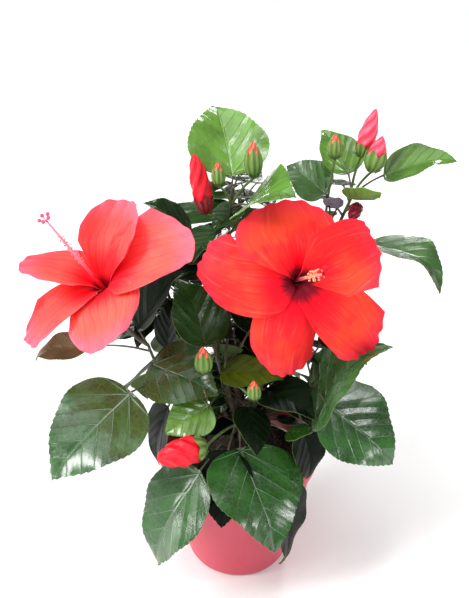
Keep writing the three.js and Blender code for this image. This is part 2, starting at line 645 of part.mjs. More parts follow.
/** The solid round a limb that its neighbours are cut clear of. */
function sleeve(start, row, { root, tip }, sides, segments) {
  const line = walk(start, { ...row, length: row.length + GAP });
  return limb(line, taper(root + GAP, tip + GAP), sides, segments);
}

const group = new THREE.Group();
group.add(sculpt('pot', pot(), FINISH.pot));
group.add(sculpt('soil', soil(), FINISH.soil));
group.add(sculpt('trunk', trunk(), FINISH.bark));

let boughSleeves = trunkSleeve;
for (const row of BOUGHS) {
  const body = limb(boughLines.get(row.name), taper(row.root, row.tip), BOUGH_SIDES, BOUGH_STEPS);
  group.add(sculpt(row.name, body.subtract(boughSleeves), FINISH.bark));
  boughSleeves = boughSleeves.add(sleeve(along(trunkLine, row.at).point, row, row, BOUGH_SIDES, BOUGH_STEPS));
}

for (const row of BLOOMS) {
  const seat = bloomStalk(row).at(-1).point.addScaledVector(heading(row.turn, row.rise), row.tube);
  for (const each of row.petals) taken.push(...bladePoints(petalSurface(seat, row, each)));
}
for (const row of MASSES) {
  const stem = stemLines.get(row.name);
  for (const each of row.leaves) {
    const line = stalkLine(stem, each);
    taken.push(...bladePoints(bladeSurface(line.at(-1).point, each)), line[2].point);
  }
  for (const each of row.buds) taken.push(stalkLine(stem, each).at(-1).point);
}

let stemSleeves = boughSleeves;
for (const row of MASSES) {
  const start = boughLines.get(row.bough).at(-1).point;
  stemSleeves = stemSleeves.add(sleeve(start, row, STEM, STEM.sides, STEM_STEPS));
}
for (const row of BLOOMS) {
  group.add(sculpt(row.name, wasm.Manifold.union(bloom(row)).subtract(stemSleeves), FINISH.petal));
}

for (const row of MASSES) {
  const stem = stemLines.get(row.name);
  const roll = dice(row.grows.seed);
  const twigs = growTwigs(row.name, stem, row.grows, roll);
  const grown = grow(row.name, stem, row.grows, roll);
  const parts = [
    limb(stem, taper(STEM.root, STEM.tip), STEM.sides, STEM_STEPS),
    ...row.leaves.flatMap((each) => leaf(stem, each)),
    ...grown.flatMap((each) => leaf(stem, each, true)),
    ...row.buds.flatMap((each) => bud(stem, each)),
    ...twigs.flatMap((twig) => [
      limb(twig.line, taper(TWIG.root, TWIG.tip), SET_STALK.sides, 3),
      ...twig.leaves.flatMap((each) => leaf(twig.line, each, true)),
    ]),
  ];
  group.add(sculpt(row.name, wasm.Manifold.union(parts).subtract(boughSleeves), FINISH.leaf));
}

export default group;
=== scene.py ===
"""Potted hibiscus shrub: glossy toothed leaves, spindle buds and two open trumpet blooms.

The crown grows from the same named sizes and by the same seeded rule as the solids that it replaces. The
growing works in millimetres; a mesh gets its metres when it is made.
"""

import logging
import math
from collections.abc import Callable, Sequence
from dataclasses import dataclass, field, replace
from enum import Enum
from typing import Any

import bpy
import numpy as np
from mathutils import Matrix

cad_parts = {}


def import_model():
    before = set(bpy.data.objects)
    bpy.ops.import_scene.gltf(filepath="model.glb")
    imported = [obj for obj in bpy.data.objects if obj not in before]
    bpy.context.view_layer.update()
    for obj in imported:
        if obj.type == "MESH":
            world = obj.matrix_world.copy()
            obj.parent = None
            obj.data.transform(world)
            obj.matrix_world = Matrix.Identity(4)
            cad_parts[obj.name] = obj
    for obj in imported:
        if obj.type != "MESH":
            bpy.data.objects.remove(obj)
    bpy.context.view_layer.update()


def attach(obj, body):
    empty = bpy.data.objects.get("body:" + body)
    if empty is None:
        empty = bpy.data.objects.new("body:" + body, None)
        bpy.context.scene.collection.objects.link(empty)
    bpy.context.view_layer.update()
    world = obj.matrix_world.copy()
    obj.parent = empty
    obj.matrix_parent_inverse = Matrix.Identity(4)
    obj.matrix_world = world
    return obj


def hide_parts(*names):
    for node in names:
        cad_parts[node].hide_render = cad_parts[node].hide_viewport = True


log = logging.getLogger("hibiscus")

METRES = 0.001
DIVERGENCE = 137.5  # degrees from one leaf round to the next
UP = np.array([0.0, 0.0, 1.0])
UPRIGHT = (UP, np.array([1.0, 0.0, 0.0]), np.array([0.0, 1.0, 0.0]))
SLAB_SHEETS = 3  # a leaf's or petal's front, back and edge
ROUND = 6.28  # about a full turn in radians, for a wave's phase

Array = np.ndarray
Amount = float | Array
Axes = tuple[Array, ...]
Colour = tuple[float, float, float]
Skin = bpy.types.Material
Piece = bpy.types.Object


# The growing rule


def blend(a: Amount, b: Amount, share: Amount) -> Amount:
    """Return the value that lies a share of the way from a to b."""
    return a + (b - a) * share


def heading(turn: float, rise: float) -> Array:
    """Return the unit vector along a turn from +X and a rise above level, in degrees."""
    turn, rise = math.radians(turn), math.radians(rise)
    return np.array([math.cos(rise) * math.cos(turn), math.cos(rise) * math.sin(turn), math.sin(rise)])


def axes(turn: float, rise: float) -> Axes:
    """Return the unit vectors ahead, level across and above for a turn and a rise, in degrees."""
    ahead, level = heading(turn, rise), heading(turn - 90, 0)
    return ahead, level, np.cross(level, ahead)


def five_points(share: Array) -> Array:
    """Return 0 at the tips and 1 at the notches of a five-pointed rim, at shares of the way round."""
    return np.abs((share * 5) % 1 - 0.5) * 2


@dataclass(frozen=True)
class Course:
    """How a limb sets out and how its direction changes evenly on the way."""

    turn: float
    rise: float
    length: float
    sweep: float = 0.0
    veer: float = 0.0


@dataclass(frozen=True)
class Place:
    """A point on a limb's line and the direction there."""

    point: Array
    turn: float
    rise: float


Line = list[Place]


def walk(start: Array, course: Course, steps: int = 12) -> Line:
    """Lay a line out from a start.

    Args:
        start: Where the line begins.
        course: Its direction, length and bend.
        steps: How many straight steps it has.

    Returns:
        The places along it, first to last.
    """
    places = [Place(start, course.turn, course.rise)]
    for i in range(steps):
        middle, end = (i + 0.5) / steps, (i + 1) / steps
        ahead = heading(course.turn + course.veer * middle, course.rise + course.sweep * middle)
        point = places[-1].point + ahead * course.length / steps
        places.append(Place(point, course.turn + course.veer * end, course.rise + course.sweep * end))
    return places


def along(line: Line, fraction: float) -> Place:
    """Find a place on a line.

    Args:
        line: The line.
        fraction: How far along it, from 0 to 1.

    Returns:
        The place.
    """
    x = min(max(fraction, 0.0), 1.0) * (len(line) - 1)
    i = min(int(x), len(line) - 2)
    a, b, share = line[i], line[i + 1], x - i
    return Place(
        a.point + (b.point - a.point) * share, blend(a.turn, b.turn, share), blend(a.rise, b.rise, share)
    )


class Dice:
    """A repeatable stream of numbers from 0 to 1."""

    FACTOR, MODULUS = 16807, 2147483647

    def __init__(self, seed: int) -> None:
        """Start the stream at a seed."""
        self.state = seed

    def __call__(self) -> float:
        """Return the next number."""
        self.state = self.state * self.FACTOR % self.MODULUS
        return self.state / self.MODULUS

    def spread(self, width: float) -> float:
        """Return the next number, laid evenly about 0 over a width."""
        return (self() - 0.5) * width


class Tone(Enum):
    """The leaf colours of the shrub, from old leaves to the fresh ones at the tips, with a near-black one
    that paints shade on leaves deep in the crown and a lighter one that paints sheen.
    """

    # Near-black leaves: painted shade for leaves inside the crown.
    PAINTED_SHADE = "painted_shade"
    DEEP = "deep"
    MID = "mid"
    OLIVE = "olive"
    RUSSET = "russet"
    FRESH = "fresh"
    LIGHT = "light"
    # Lighter green: the sheen of glossy leaves painted into their colour.
    PAINTED_SHEEN = "painted_sheen"
    LILAC = "lilac"
    BRONZE = "bronze"


class Stage(Enum):
    """How far a flower bud has come, from a green one that shows its tip to a spent one."""

    TIPPED = "tipped"
    OPENING = "opening"
    FURLED = "furled"
    CRUMPLED = "crumpled"
    FADED = "faded"
    WINE = "wine"


@dataclass(frozen=True)
class Leaf:
    """A leaf: "at" is a fraction of its stem; turn, rise and stalk lay the leafstalk; the rest the blade."""

    at: float
    turn: float
    rise: float
    stalk: float
    swing: float
    fall: float
    length: float
    wide: float = 0.74
    roll: float = 0.0
    arch: float = 0.08
    fold: float = 0.12
    tone: Tone = Tone.DEEP


@dataclass(frozen=True)
class Bud:
    """A flower bud on its stalk."""

    at: float
    turn: float
    rise: float
    stalk: float
    swing: float
    fall: float
    length: float
    girth: float
    stage: Stage


@dataclass(frozen=True)
class Growth:
    """What a stem grows by rule on top of the leaves that are listed for it."""

    count: int
    start: float
    turn: float
    seed: int
    leaf: float
    before: float = -math.inf
    twigs: int = 0
    tone: Tone = Tone.DEEP
    room: float = 8.0


@dataclass(frozen=True)
class Bough:
    """A limb that leaves the trunk at a fraction of its length."""

    name: str
    at: float
    course: Course
    root: float
    tip: float


@dataclass(frozen=True)
class Mass:
    """A mass of foliage: one stem that goes on from its bough, with what it carries."""

    name: str
    bough: str
    course: Course
    grows: Growth
    leaves: tuple[Leaf, ...] = ()
    buds: tuple[Bud, ...] = ()
    fine_twigs: int = 12
    fine_seed: int = 29


@dataclass(frozen=True)
class Petal:
    """A petal's angle round the face, its reach from the throat, how far it lies open and its outline."""

    round: float
    reach: float
    open: float
    wide: float
    trim: float
    skew: float
    cup: float


@dataclass(frozen=True)
class Flower:
    """An open bloom on a stalk that goes on from a bough or a mass's stem."""

    name: str
    carrier: str
    stalk: Course
    turn: float
    rise: float
    turn_out: float
    petals: tuple[Petal, ...]
    column: Course
    tube: float = 10.0


# Half width of a blade, as a share of its greatest, at fractions of its length.
OUTLINE = ((0, 0.36), (0.1, 0.84), (0.34, 1), (0.68, 0.7), (1, 0.04))
TRUNK = Bough("trunk", 0, Course(70, 86, 66), 7.5, 5.5)
BOUGHS = (
    Bough("bough_leader", 1, Course(200, 80, 120, 4), 4.6, 2.6),
    Bough("bough_front", 0.8, Course(310, 46, 128, 34), 3.6, 2.2),
    Bough("bough_top_right", 0.72, Course(10, 46, 148, 38), 3.8, 2.4),
    Bough("bough_back_top", 0.76, Course(92, 44, 128, 42), 3.6, 2.4),
    Bough("bough_centre", 0.6, Course(250, 46, 64, 24), 3, 2.2),
    Bough("bough_right", 0.48, Course(336, 32, 62, 14), 3.2, 2.2),
    Bough("bough_back_right", 0.5, Course(44, 36, 84, 20), 3.2, 2.2),
    Bough("bough_back_left", 0.46, Course(142, 36, 84, 20), 3.2, 2.2),
    Bough("bough_left", 0.36, Course(202, 36, 84, 14), 3.4, 2.4),
    Bough("bough_low", 0.26, Course(272, 34, 50, 18), 3, 2.1),
    Bough("bough_middle", 0.9, Course(118, 56, 58, 24), 3.2, 2.4),
    Bough("bough_back_low", 0.24, Course(96, 32, 58, 16), 3, 2.1),
)
# The front masses grow near-black leaves, and some listed leaves are near black: painted shade inside the
# crown.
MASSES = (
    Mass("foliage_left", "bough_left", Course(212, 54, 68, 20),
         Growth(6, 0.15, 150, 458, 60, before=-26, tone=Tone.PAINTED_SHADE),
         leaves=(
             Leaf(0.79, 132, 44, 30, 25, 44, 71, 0.9, 0, 0.11, 0.31, Tone.PAINTED_SHADE),
             Leaf(0.6, 70, 28, 22, 41, 76, 51, 0.74, 5, 0.07, 0.22, Tone.PAINTED_SHADE),
             Leaf(0.5, 246, 46, 26, 341, -18, 67, 0.95, -35, 0.08, 0.08, Tone.MID),
             Leaf(0.3, 233, 14, 49, 217, -36, 99, 0.85, 27, 0.1, 0.07, Tone.MID),
             Leaf(0.9, 166, -2, 60, 164, -22, 64, 0.57, 22, 0.15, 0.2, Tone.RUSSET),
             Leaf(0.05, 250, -5, 21, 223, -77, 59, 1.03, -21, 0.09, 0.16, Tone.PAINTED_SHADE),
         ),
         fine_twigs=0),
    Mass("foliage_top_left", "bough_leader", Course(292, 80, 100, -8),
         Growth(6, 0.1, 95, 213, 60, before=-6),
         leaves=(
             Leaf(0.92, 25, 86, 17, 112, 48, 71, 1.01, 3, 0.12, 0.18, Tone.FRESH),
             Leaf(0.8, 300, 17, 30, 308, 15, 60, 1.04, -32, 0.14, 0.21, Tone.LIGHT),
             Leaf(0.72, 30, 31, 14, 202, -37, 35, 0.97, 13, 0.08, 0.21, Tone.DEEP),
             Leaf(0.3, 240, 78, 29, 230, -30, 44, 1.04, -8, 0.09, 0.3, Tone.DEEP),
             Leaf(0.1, 152, 48, 51, 200, 35, 54, 0.85, 26, 0.08, 0.12, Tone.DEEP),
         ),
         buds=(
             Bud(0.62, 222, 32, 29, 202, 78, 52, 17, Stage.FADED),
             Bud(0.85, 246, 38, 31, 180, 87, 20, 11, Stage.TIPPED),
             Bud(0.82, 318, 47, 38, 180, 87, 30, 14, Stage.TIPPED),
         ),
         fine_twigs=0),
    Mass("foliage_top_right", "bough_top_right", Course(342, 62, 102, 8),
         Growth(6, 0.1, 60, 185, 60, before=12),
         leaves=(
             Leaf(0.55, 228, 73, 44, 153, 29, 44, 0.95, 40, 0.11, 0.21, Tone.PAINTED_SHEEN),
             Leaf(0.42, 325, 77, 41, 242, 26, 30, 0.57, -15, 0.12, 0.09, Tone.LILAC),
             Leaf(0.95, 105, 65, 21, 134, 47, 48, 1, 11, 0.08, 0.17, Tone.FRESH),
             Leaf(0.96, 8, 33, 33, 343, 14, 62, 0.76, -25, 0.1, 0.25, Tone.LIGHT),
             Leaf(0.25, 324, 31, 58, 319, -23, 77, 0.74, -1, 0.22, 0.24, Tone.BRONZE),
             Leaf(0.97, 247, -1, 13, 296, 17, 46, 0.63, 26, 0, 0.18, Tone.LIGHT),
         ),
         buds=(
             Bud(0.35, 280, 76, 96, 180, 87, 21, 12, Stage.TIPPED),
             Bud(0.93, 315, 78, 39, 0, 76, 42, 16, Stage.FURLED),
             Bud(0.95, 298, 47, 36, 0, 76, 31, 17, Stage.OPENING),
             Bud(0.8, 311, 38, 19, 211, -67, 19, 12, Stage.WINE),
         ),
         fine_twigs=0),
    Mass("foliage_centre", "bough_centre", Course(242, 60, 62, 12),
         Growth(2, 0.3, 180, 563, 50, before=-50, tone=Tone.PAINTED_SHADE),
         leaves=(
             Leaf(0.95, 239, 19, 13, 124, 44, 69, 0.91, -14, 0.1, 0.16, Tone.DEEP),
             Leaf(0.7, 335, -77, 13, 355, -5, 57, 0.7, -19, 0.08, 0.12, Tone.OLIVE),
             Leaf(0.06, 246, -2, 36, 207, -22, 47, 0.9, 40, 0.08, 0.1, Tone.FRESH),
             Leaf(0.3, 344, -11, 41, 320, -11, 55, 0.93, -8, 0.11, 0.25, Tone.PAINTED_SHADE),
         ),
         buds=(
             Bud(0.8, 256, -2, 37, 180, 88, 25, 14, Stage.TIPPED),
             Bud(0.25, 298, 6, 58, 180, 87, 19, 11, Stage.TIPPED),
         ),
         fine_twigs=14, fine_seed=246),
    Mass("foliage_low_front", "bough_low", Course(265, 48, 40, 20),
         Growth(1, 0.3, 20, 843, 50, tone=Tone.PAINTED_SHADE),
         leaves=(
             Leaf(0.3, 229, -20, 58, 201, -66, 101, 0.79, 15, 0.14, 0.14, Tone.MID),
             Leaf(0.8, 273, -46, 28, 296, -45, 94, 1.03, 12, 0.07, 0.1, Tone.MID),
             Leaf(0.85, 246, -43, 33, 251, -75, 73, 0.72, 0, 0.05, 0.05, Tone.PAINTED_SHADE),
             Leaf(0.1, 322, -34, 72, 337, -96, 90, 0.61, -6, 0.06, 0.16, Tone.PAINTED_SHADE),
             Leaf(0.88, 333, -5, 48, 327, 18, 26, 0.97, -9, 0.02, -0.08, Tone.DEEP),
         ),
         buds=(
             Bud(0.5, 241, 9, 59, 199, -6, 44, 25, Stage.CRUMPLED),
         ),
         fine_twigs=14, fine_seed=184),
    Mass("foliage_right", "bough_right", Course(316, 42, 54, 14),
         Growth(6, 0.1, 10, 808, 62, before=-40, tone=Tone.PAINTED_SHADE),
         leaves=(
             Leaf(0.23, 288, -30, 30, 311, -83, 55, 0.83, 5, 0.12, 0.12, Tone.PAINTED_SHADE),
             Leaf(0.55, 291, -36, 27, 348, 50, 101, 0.9, -16, 0.14, 0.26, Tone.PAINTED_SHEEN),
             Leaf(0.8, 289, -4, 32, 344, -40, 81, 0.94, -35, 0.08, 0.19, Tone.MID),
         ),
         fine_twigs=14, fine_seed=401),
    Mass("foliage_middle", "bough_middle", Course(150, 78, 84, 4),
         Growth(12, 0, 100, 1088, 56, before=-30, tone=Tone.PAINTED_SHADE),
         fine_twigs=14, fine_seed=494),
    Mass("foliage_back_left", "bough_back_left", Course(136, 54, 108, 14),
         Growth(13, 0, 178, 94, 86, twigs=2),
         fine_seed=60),
    Mass("foliage_back_right", "bough_back_right", Course(46, 54, 108, 14),
         Growth(11, 0, 20, 892, 86, twigs=2)),
    Mass("foliage_back_top", "bough_back_top", Course(86, 74, 92, 6),
         Growth(16, 0, 66, 157, 84, twigs=2),
         fine_seed=60),
    Mass("foliage_back_low", "bough_back_low", Course(92, 40, 44, 20),
         Growth(8, 0, 140, 871, 80),
         fine_seed=91),
)
FLOWERS = (
    Flower(
        name="bloom_right",
        carrier="bough_front",
        stalk=Course(275.3, 97.5, 60.2, -72.3, 7.1),
        turn=286,
        rise=12,
        turn_out=16,
        petals=(
            Petal(182, 82, 124, 0.76, 0.16, -17, -0.01),
            Petal(98, 67, 122, 1.5, 0.09, 0, 0.14),
            Petal(37, 69, 88, 1.1, 0.13, -10, 0.2),
            Petal(-41, 97, 109, 0.57, 0.27, -3, 0.11),
            Petal(252, 86, 118, 0.79, 0.11, 11, -0.2),
        ),
        column=Course(284, 23, 66),
    ),
    Flower(
        name="bloom_left",
        carrier="foliage_left",
        stalk=Course(201, 37.9, 59.3, 38.6, -33.9),
        turn=247,
        rise=53,
        turn_out=20,
        petals=(
            Petal(23, 93, 84, 0.85, 0.19, 0, 0.19),
            Petal(80, 76, 66, 0.87, 0.32, -3, 0.2),
            Petal(183, 70, 59, 0.74, 0.52, 15, 0.09),
            Petal(239, 80, 96, 0.59, 0.34, 7, 0.1),
            Petal(313, 89, 80, 0.8, 0.4, -9, -0.09),
        ),
        column=Course(234, 53, 92),
    ),
)


@dataclass(frozen=True)
class PotSizes:
    """The pot's own sizes and those of the soil in it."""

    base: float = 50.0
    rim: float = 83.0
    height: float = 128.0
    wall: float = 3.0
    floor: float = 4.0
    band: float = 20.0
    lip: float = 2.5
    heel: float = 7.0
    hole: float = 5.0
    ring: float = 30.0
    holes: int = 6
    soil_top: float = 112.0
    soil_edge: float = 108.5

    def outer(self, height: float) -> float:
        """Return the radius of the wall's outer face at a height."""
        return blend(self.base, self.rim - self.lip, height / self.height)


POT = PotSizes()
# The points that stand for a blade or petal, as fractions along and across it, and the middle one's number.
SPOTS = np.repeat([0.1, 0.25, 0.4, 0.55, 0.7, 0.85, 1], 5), np.tile([-0.9, -0.45, 0, 0.45, 0.9], 7)
MIDDLE = 17


class Blade:
    """The surface of one leaf blade, as its leafstalk and its row lay it."""

    SUNK = 3.0
    ARCHED = 6.75  # makes the arch's curve 1 at its height

    def __init__(self, base: Array, row: Leaf) -> None:
        """Lay the blade's frame at the end of its stalk.

        Args:
            base: The end of the leafstalk, in millimetres.
            row: The leaf's own numbers.
        """
        self.base, self.row = base, row
        self.ahead, level, above = axes(row.swing, row.fall)
        roll = math.radians(row.roll)
        self.side = level * math.cos(roll) + above * math.sin(roll)
        self.up = np.cross(self.side, self.ahead)

    def place(self, fraction: Array, offset: Array, rise: Array) -> Array:
        """Lay points on the blade.

        Args:
            fraction: Fractions of its length.
            offset: Distances to the side.
            rise: Heights over its arched plane.

        Returns:
            The points.
        """
        reach = -self.SUNK + (self.row.length + self.SUNK) * fraction
        arch = self.row.arch * self.row.length * self.ARCHED * fraction**2 * (1 - fraction)
        return (
            self.base
            + reach[..., None] * self.ahead
            + offset[..., None] * self.side
            + (arch + rise)[..., None] * self.up
        )

    def sample(self) -> Array:
        """Return the points that stand for the blade when another leaf is kept clear of it."""
        fraction, across = SPOTS
        half = np.interp(fraction, *zip(*OUTLINE)) * self.row.length * self.row.wide / 2
        return self.place(fraction, half * across, self.row.fold * half * np.abs(across))


class PetalSheet:
    """The surface of one petal: it leaves the tube near the axis, turns out and lies open."""

    CLAW, HALF, SPREAD, INNER, LIFT, STEPS = 5.0, 0.48, 0.95, 18.0, 4.0, 12

    def __init__(self, throat: Array, flower: Flower, petal: Petal) -> None:
        """Lay the petal in its bloom.

        Args:
            throat: Where the petals leave the tube, in millimetres.
            flower: The bloom.
            petal: The petal's own numbers.
        """
        self.throat, self.flower, self.petal = throat, flower, petal
        self.axis = heading(flower.turn, flower.rise)
        self.up = heading(flower.turn, flower.rise + 90)
        self.right = np.cross(self.up, self.axis)

    def meridian(self, arc: Array) -> tuple[Array, Array, Array]:
        """Follow the petal's middle line from its tube.

        Args:
            arc: Lengths along it.

        Returns:
            Distance from the bloom's axis, height along the axis and slope there.
        """
        steps = self.STEPS
        out, height = np.full(arc.shape, self.CLAW * 0.8), np.zeros(arc.shape)
        for i in range(steps):
            open_by = 1 - np.exp(-arc * (i + 0.5) / steps / self.flower.turn_out)
            slope = np.radians(self.INNER + (self.petal.open - self.INNER) * open_by)
            out = out + np.sin(slope) * arc / steps
            height = height + np.cos(slope) * arc / steps
        return out, height, slope

    def half(self, fraction: Array) -> Array:
        """Return the petal's half width at fractions of its reach."""
        swell = np.sin(np.pi * np.minimum(0.08 + 0.72 * fraction, 0.5)) * (1 - 0.12 * fraction**4)
        return self.HALF * self.petal.wide * swell * self.petal.reach

    def place(self, fraction: Array, across: Array, height: Array) -> Array:
        """Lay points on the petal.

        Args:
            fraction: Fractions of its reach.
            across: Places across it, from -1 to 1.
            height: Heights off its sheet.

        Returns:
            The points.
        """
        petal = self.petal
        arc = petal.reach * fraction * (1 - petal.trim * np.abs(across) ** 3 * fraction**2)
        out, ahead, slope = self.meridian(arc)
        spread = np.minimum(self.half(arc / petal.reach) / out, self.SPREAD)
        angle = np.radians(petal.round + petal.skew * fraction**2) + across * spread
        twist = self.LIFT * across * (0.3 + 0.7 * fraction)
        lift = height + twist + petal.cup * petal.reach * across**2 * fraction
        radial = np.cos(angle)[..., None] * self.right + np.sin(angle)[..., None] * self.up
        return (
            self.throat
            + (ahead + lift * np.sin(slope))[..., None] * self.axis
            + (out - lift * np.cos(slope))[..., None] * radial
        )

    def sample(self) -> Array:
        """Return the points that stand for the petal when a leaf is kept clear of it."""
        fraction, across = SPOTS
        return self.place(fraction, across, np.zeros(fraction.shape))


@dataclass
class Shoot:
    """A stem or twig with the leaves and buds on it."""

    line: Line
    root: float
    tip: float
    leaves: list[Leaf] = field(default_factory=list)
    buds: list[Bud] = field(default_factory=list)


@dataclass(frozen=True)
class Range:
    """An angle of the grown leaves, from low to high up a stem, with an even play about it."""

    low: float
    high: float
    play: float

    def draw(self, share: float, roll: Dice) -> float:
        """Return the angle at a share of the stem."""
        return blend(self.low, self.high, share) + roll.spread(self.play)


@dataclass(frozen=True)
class Scale:
    """A size of the grown leaves, from low to high up a stem, times a factor from least by a play."""

    low: float
    high: float
    least: float
    play: float

    def draw(self, share: float, roll: Dice) -> float:
        """Return the size at a share of the stem."""
        return blend(self.low, self.high, share) * (self.least + self.play * roll())


@dataclass
class Shrub:
    """The whole shrub as lines, leaves, buds and blooms, grown by the rule of the solids."""

    tries: int = 30
    fine_before: float = -30.0
    pot_clearance: float = 7.0
    grown_top: float = 0.9
    bow: float = 24.0
    rise: Range = Range(8, 50, 30)
    fall: Range = Range(-50, -12, 36)
    stalks: Scale = Scale(34, 16, 0.8, 0.5)
    lengths: Scale = Scale(1, 0.8, 0.85, 0.3)
    swing: float = 50.0
    roll: float = 40.0
    twig: Course = Course(0, 40, 46, 20)
    twig_leaves: int = 3
    stem_radii: tuple[float, float] = (2.2, 1.5)
    twig_radii: tuple[float, float] = (1.7, 1.2)
    fine_radii: tuple[float, float] = (1.2, 0.8)
    trunk: Line = field(init=False)
    boughs: dict[str, Line] = field(init=False)
    stems: dict[str, Line] = field(init=False)
    taken: Array = field(init=False)
    spread: dict[str, Array] = field(init=False)
    shoots: dict[str, list[Shoot]] = field(init=False, default_factory=dict)

    def __post_init__(self) -> None:
        """Grow the limbs, set what is listed, then let each mass grow the rest."""
        self.trunk = walk(np.array([0, 0, POT.soil_top]), TRUNK.course)
        self.boughs = {row.name: walk(along(self.trunk, row.at).point, row.course) for row in BOUGHS}
        self.stems = {row.name: walk(self.boughs[row.bough][-1].point, row.course) for row in MASSES}
        self.spread = {key: np.array([place.point for place in line]) for key, line in self.stems.items()}
        taken = []
        for flower in FLOWERS:
            for petal in flower.petals:
                taken.append(PetalSheet(self.throat(flower), flower, petal).sample())
        for row in MASSES:
            stem = self.stems[row.name]
            for leaf in row.leaves:
                line = self.stalk(stem, leaf)
                taken += [Blade(line[-1].point, leaf).sample(), line[2].point[None]]
            taken += [self.stalk(stem, bud)[-1].point[None] for bud in row.buds]
        self.taken = np.concatenate(taken)
        for row in MASSES:
            self.shoots[row.name] = self.mass(row)
        for row in MASSES:
            self.shoots[row.name] += self.finer(row)

    def stalk(self, stem: Line, row: Leaf | Bud) -> Line:
        """Return the line of a leafstalk or bud stalk: a shallow arc off its stem, in four steps."""
        course = Course(row.turn, row.rise + self.bow / 2, row.stalk, -self.bow)
        return walk(along(stem, row.at).point, course, 4)

    def bloom_stalk(self, flower: Flower) -> Line:
        """Return the line of a bloom's stalk, from the tip of what carries it."""
        carrier = self.boughs.get(flower.carrier) or self.stems[flower.carrier]
        return walk(carrier[-1].point, flower.stalk)

    def throat(self, flower: Flower) -> Array:
        """Return the point where a bloom's petals leave its tube."""
        return self.bloom_stalk(flower)[-1].point + heading(flower.turn, flower.rise) * flower.tube

    def fits(self, name: str, middle: Array, points: Array, rule: Growth) -> bool:
        """Tell whether a grown leaf has room.

        Args:
            name: The mass that it grows on.
            middle: The middle of its stalk.
            points: The points that stand for its blade.
            rule: How much room it needs and the depth that it stays behind.

        Returns:
            True where it keeps clear of the pot and all other leaves and is in its own mass's space.
        """
        wide = np.hypot(points[:, 0], points[:, 1])
        wall = POT.base + (POT.rim - POT.base) * points[:, 2] / POT.height + self.pot_clearance
        over = points[:, 2] > POT.height + self.pot_clearance
        beside = (wide > wall) & (points[:, 2] > self.pot_clearance)
        if not np.all((over | beside) & (points[:, 1] > rule.before)):
            return False
        near = {key: np.linalg.norm(at - points[MIDDLE], axis=1).min() for key, at in self.spread.items()}
        if min(near, key=near.get) != name:
            return False
        within = np.linalg.norm(self.taken - points[MIDDLE], axis=1) < rule.leaf * 1.5 + rule.room
        gaps = np.linalg.norm(self.taken[within][:, None] - np.vstack([points, middle])[None], axis=2)
        return bool(gaps.min(initial=math.inf) > rule.room)

    def grow(self, name: str, stem: Line, rule: Growth, roll: Dice) -> list[Leaf]:
        """Grow leaves up a stem: each turns on from the last, and one that finds no room is skipped.

        Args:
            name: The mass that the stem belongs to.
            stem: The stem's line.
            rule: How many leaves, where they start and how large they are.
            roll: The mass's own stream of numbers.

        Returns:
            The leaves that found room.
        """
        rows = []
        for i in range(rule.count):
            at = blend(rule.start, self.grown_top, (i + 1) / rule.count)
            for attempt in range(self.tries):
                turn = rule.turn + i * DIVERGENCE + roll.spread(30 + 8 * attempt)
                row = Leaf(
                    at=at,
                    turn=turn,
                    rise=self.rise.draw(at, roll),
                    stalk=self.stalks.draw(at, roll),
                    swing=turn + roll.spread(self.swing),
                    fall=self.fall.draw(at, roll),
                    length=rule.leaf * self.lengths.draw(at, roll),
                    roll=roll.spread(self.roll),
                    fold=0,
                    tone=rule.tone,
                )
                line = self.stalk(stem, row)
                points = Blade(line[-1].point, row).sample()
                if self.fits(name, line[2].point, points, rule):
                    self.taken = np.vstack([self.taken, points, line[2].point])
                    rows.append(row)
                    break
        return rows

    def mass(self, row: Mass) -> list[Shoot]:
        """Grow one mass: its side twigs first, then its stem.

        Args:
            row: The mass.

        Returns:
            Its twigs and its stem, with what they carry.
        """
        stem, roll = self.stems[row.name], Dice(row.grows.seed)
        shoots = []
        for i in range(row.grows.twigs):
            at = blend(0.2, 0.6, (i + 0.5) / row.grows.twigs)
            turn = row.grows.turn + 70 + i * 180 + roll.spread(30)
            line = walk(along(stem, at).point, replace(self.twig, turn=turn), 6)
            rule = replace(row.grows, count=self.twig_leaves, start=0.1, turn=turn + 60)
            shoots.append(Shoot(line, *self.twig_radii, self.grow(row.name, line, rule, roll)))
        grown = self.grow(row.name, stem, row.grows, roll)
        shoots.append(Shoot(stem, *self.stem_radii, [*row.leaves, *grown], list(row.buds)))
        return shoots

    def finer(self, row: Mass) -> list[Shoot]:
        """Carry a mass on to finer twigs within its reach, off its bough and its stem in turn.

        Args:
            row: The mass.

        Returns:
            The twigs that found room for a leaf.
        """
        roll, shoots = Dice(row.grows.seed + row.fine_seed), []
        for i in range(row.fine_twigs):
            limb = self.boughs[row.bough] if i % 2 else self.stems[row.name]
            turn = row.grows.turn + i * DIVERGENCE
            course = Course(turn, 10 + 40 * roll(), 16 + 16 * roll(), 20)
            line = walk(along(limb, 0.2 + 0.7 * roll()).point, course, 6)
            # The fine twigs' leaves are near black: painted shade inside the crown.
            rule = Growth(3, 0.2, turn + 60, 0, 36, before=self.fine_before, tone=Tone.PAINTED_SHADE, room=5)
            leaves = self.grow(row.name, line, rule, roll)
            if leaves:
                shoots.append(Shoot(line, *self.fine_radii, leaves))
        return shoots


# Node trees


def operation(kind: str, swapped: bool = False) -> Callable[..., "Value"]:
    """Make a method of Value.

    Args:
        kind: The Math node's operation.
        swapped: Whether the other number comes first.

    Returns:
        The method.
    """

    def method(self: "Value", *others: Any) -> "Value":
        """Return the operation's result on this number and the others."""
        return self.tree.math(kind, *(reversed((self, *others)) if swapped else (self, *others)))

    return method


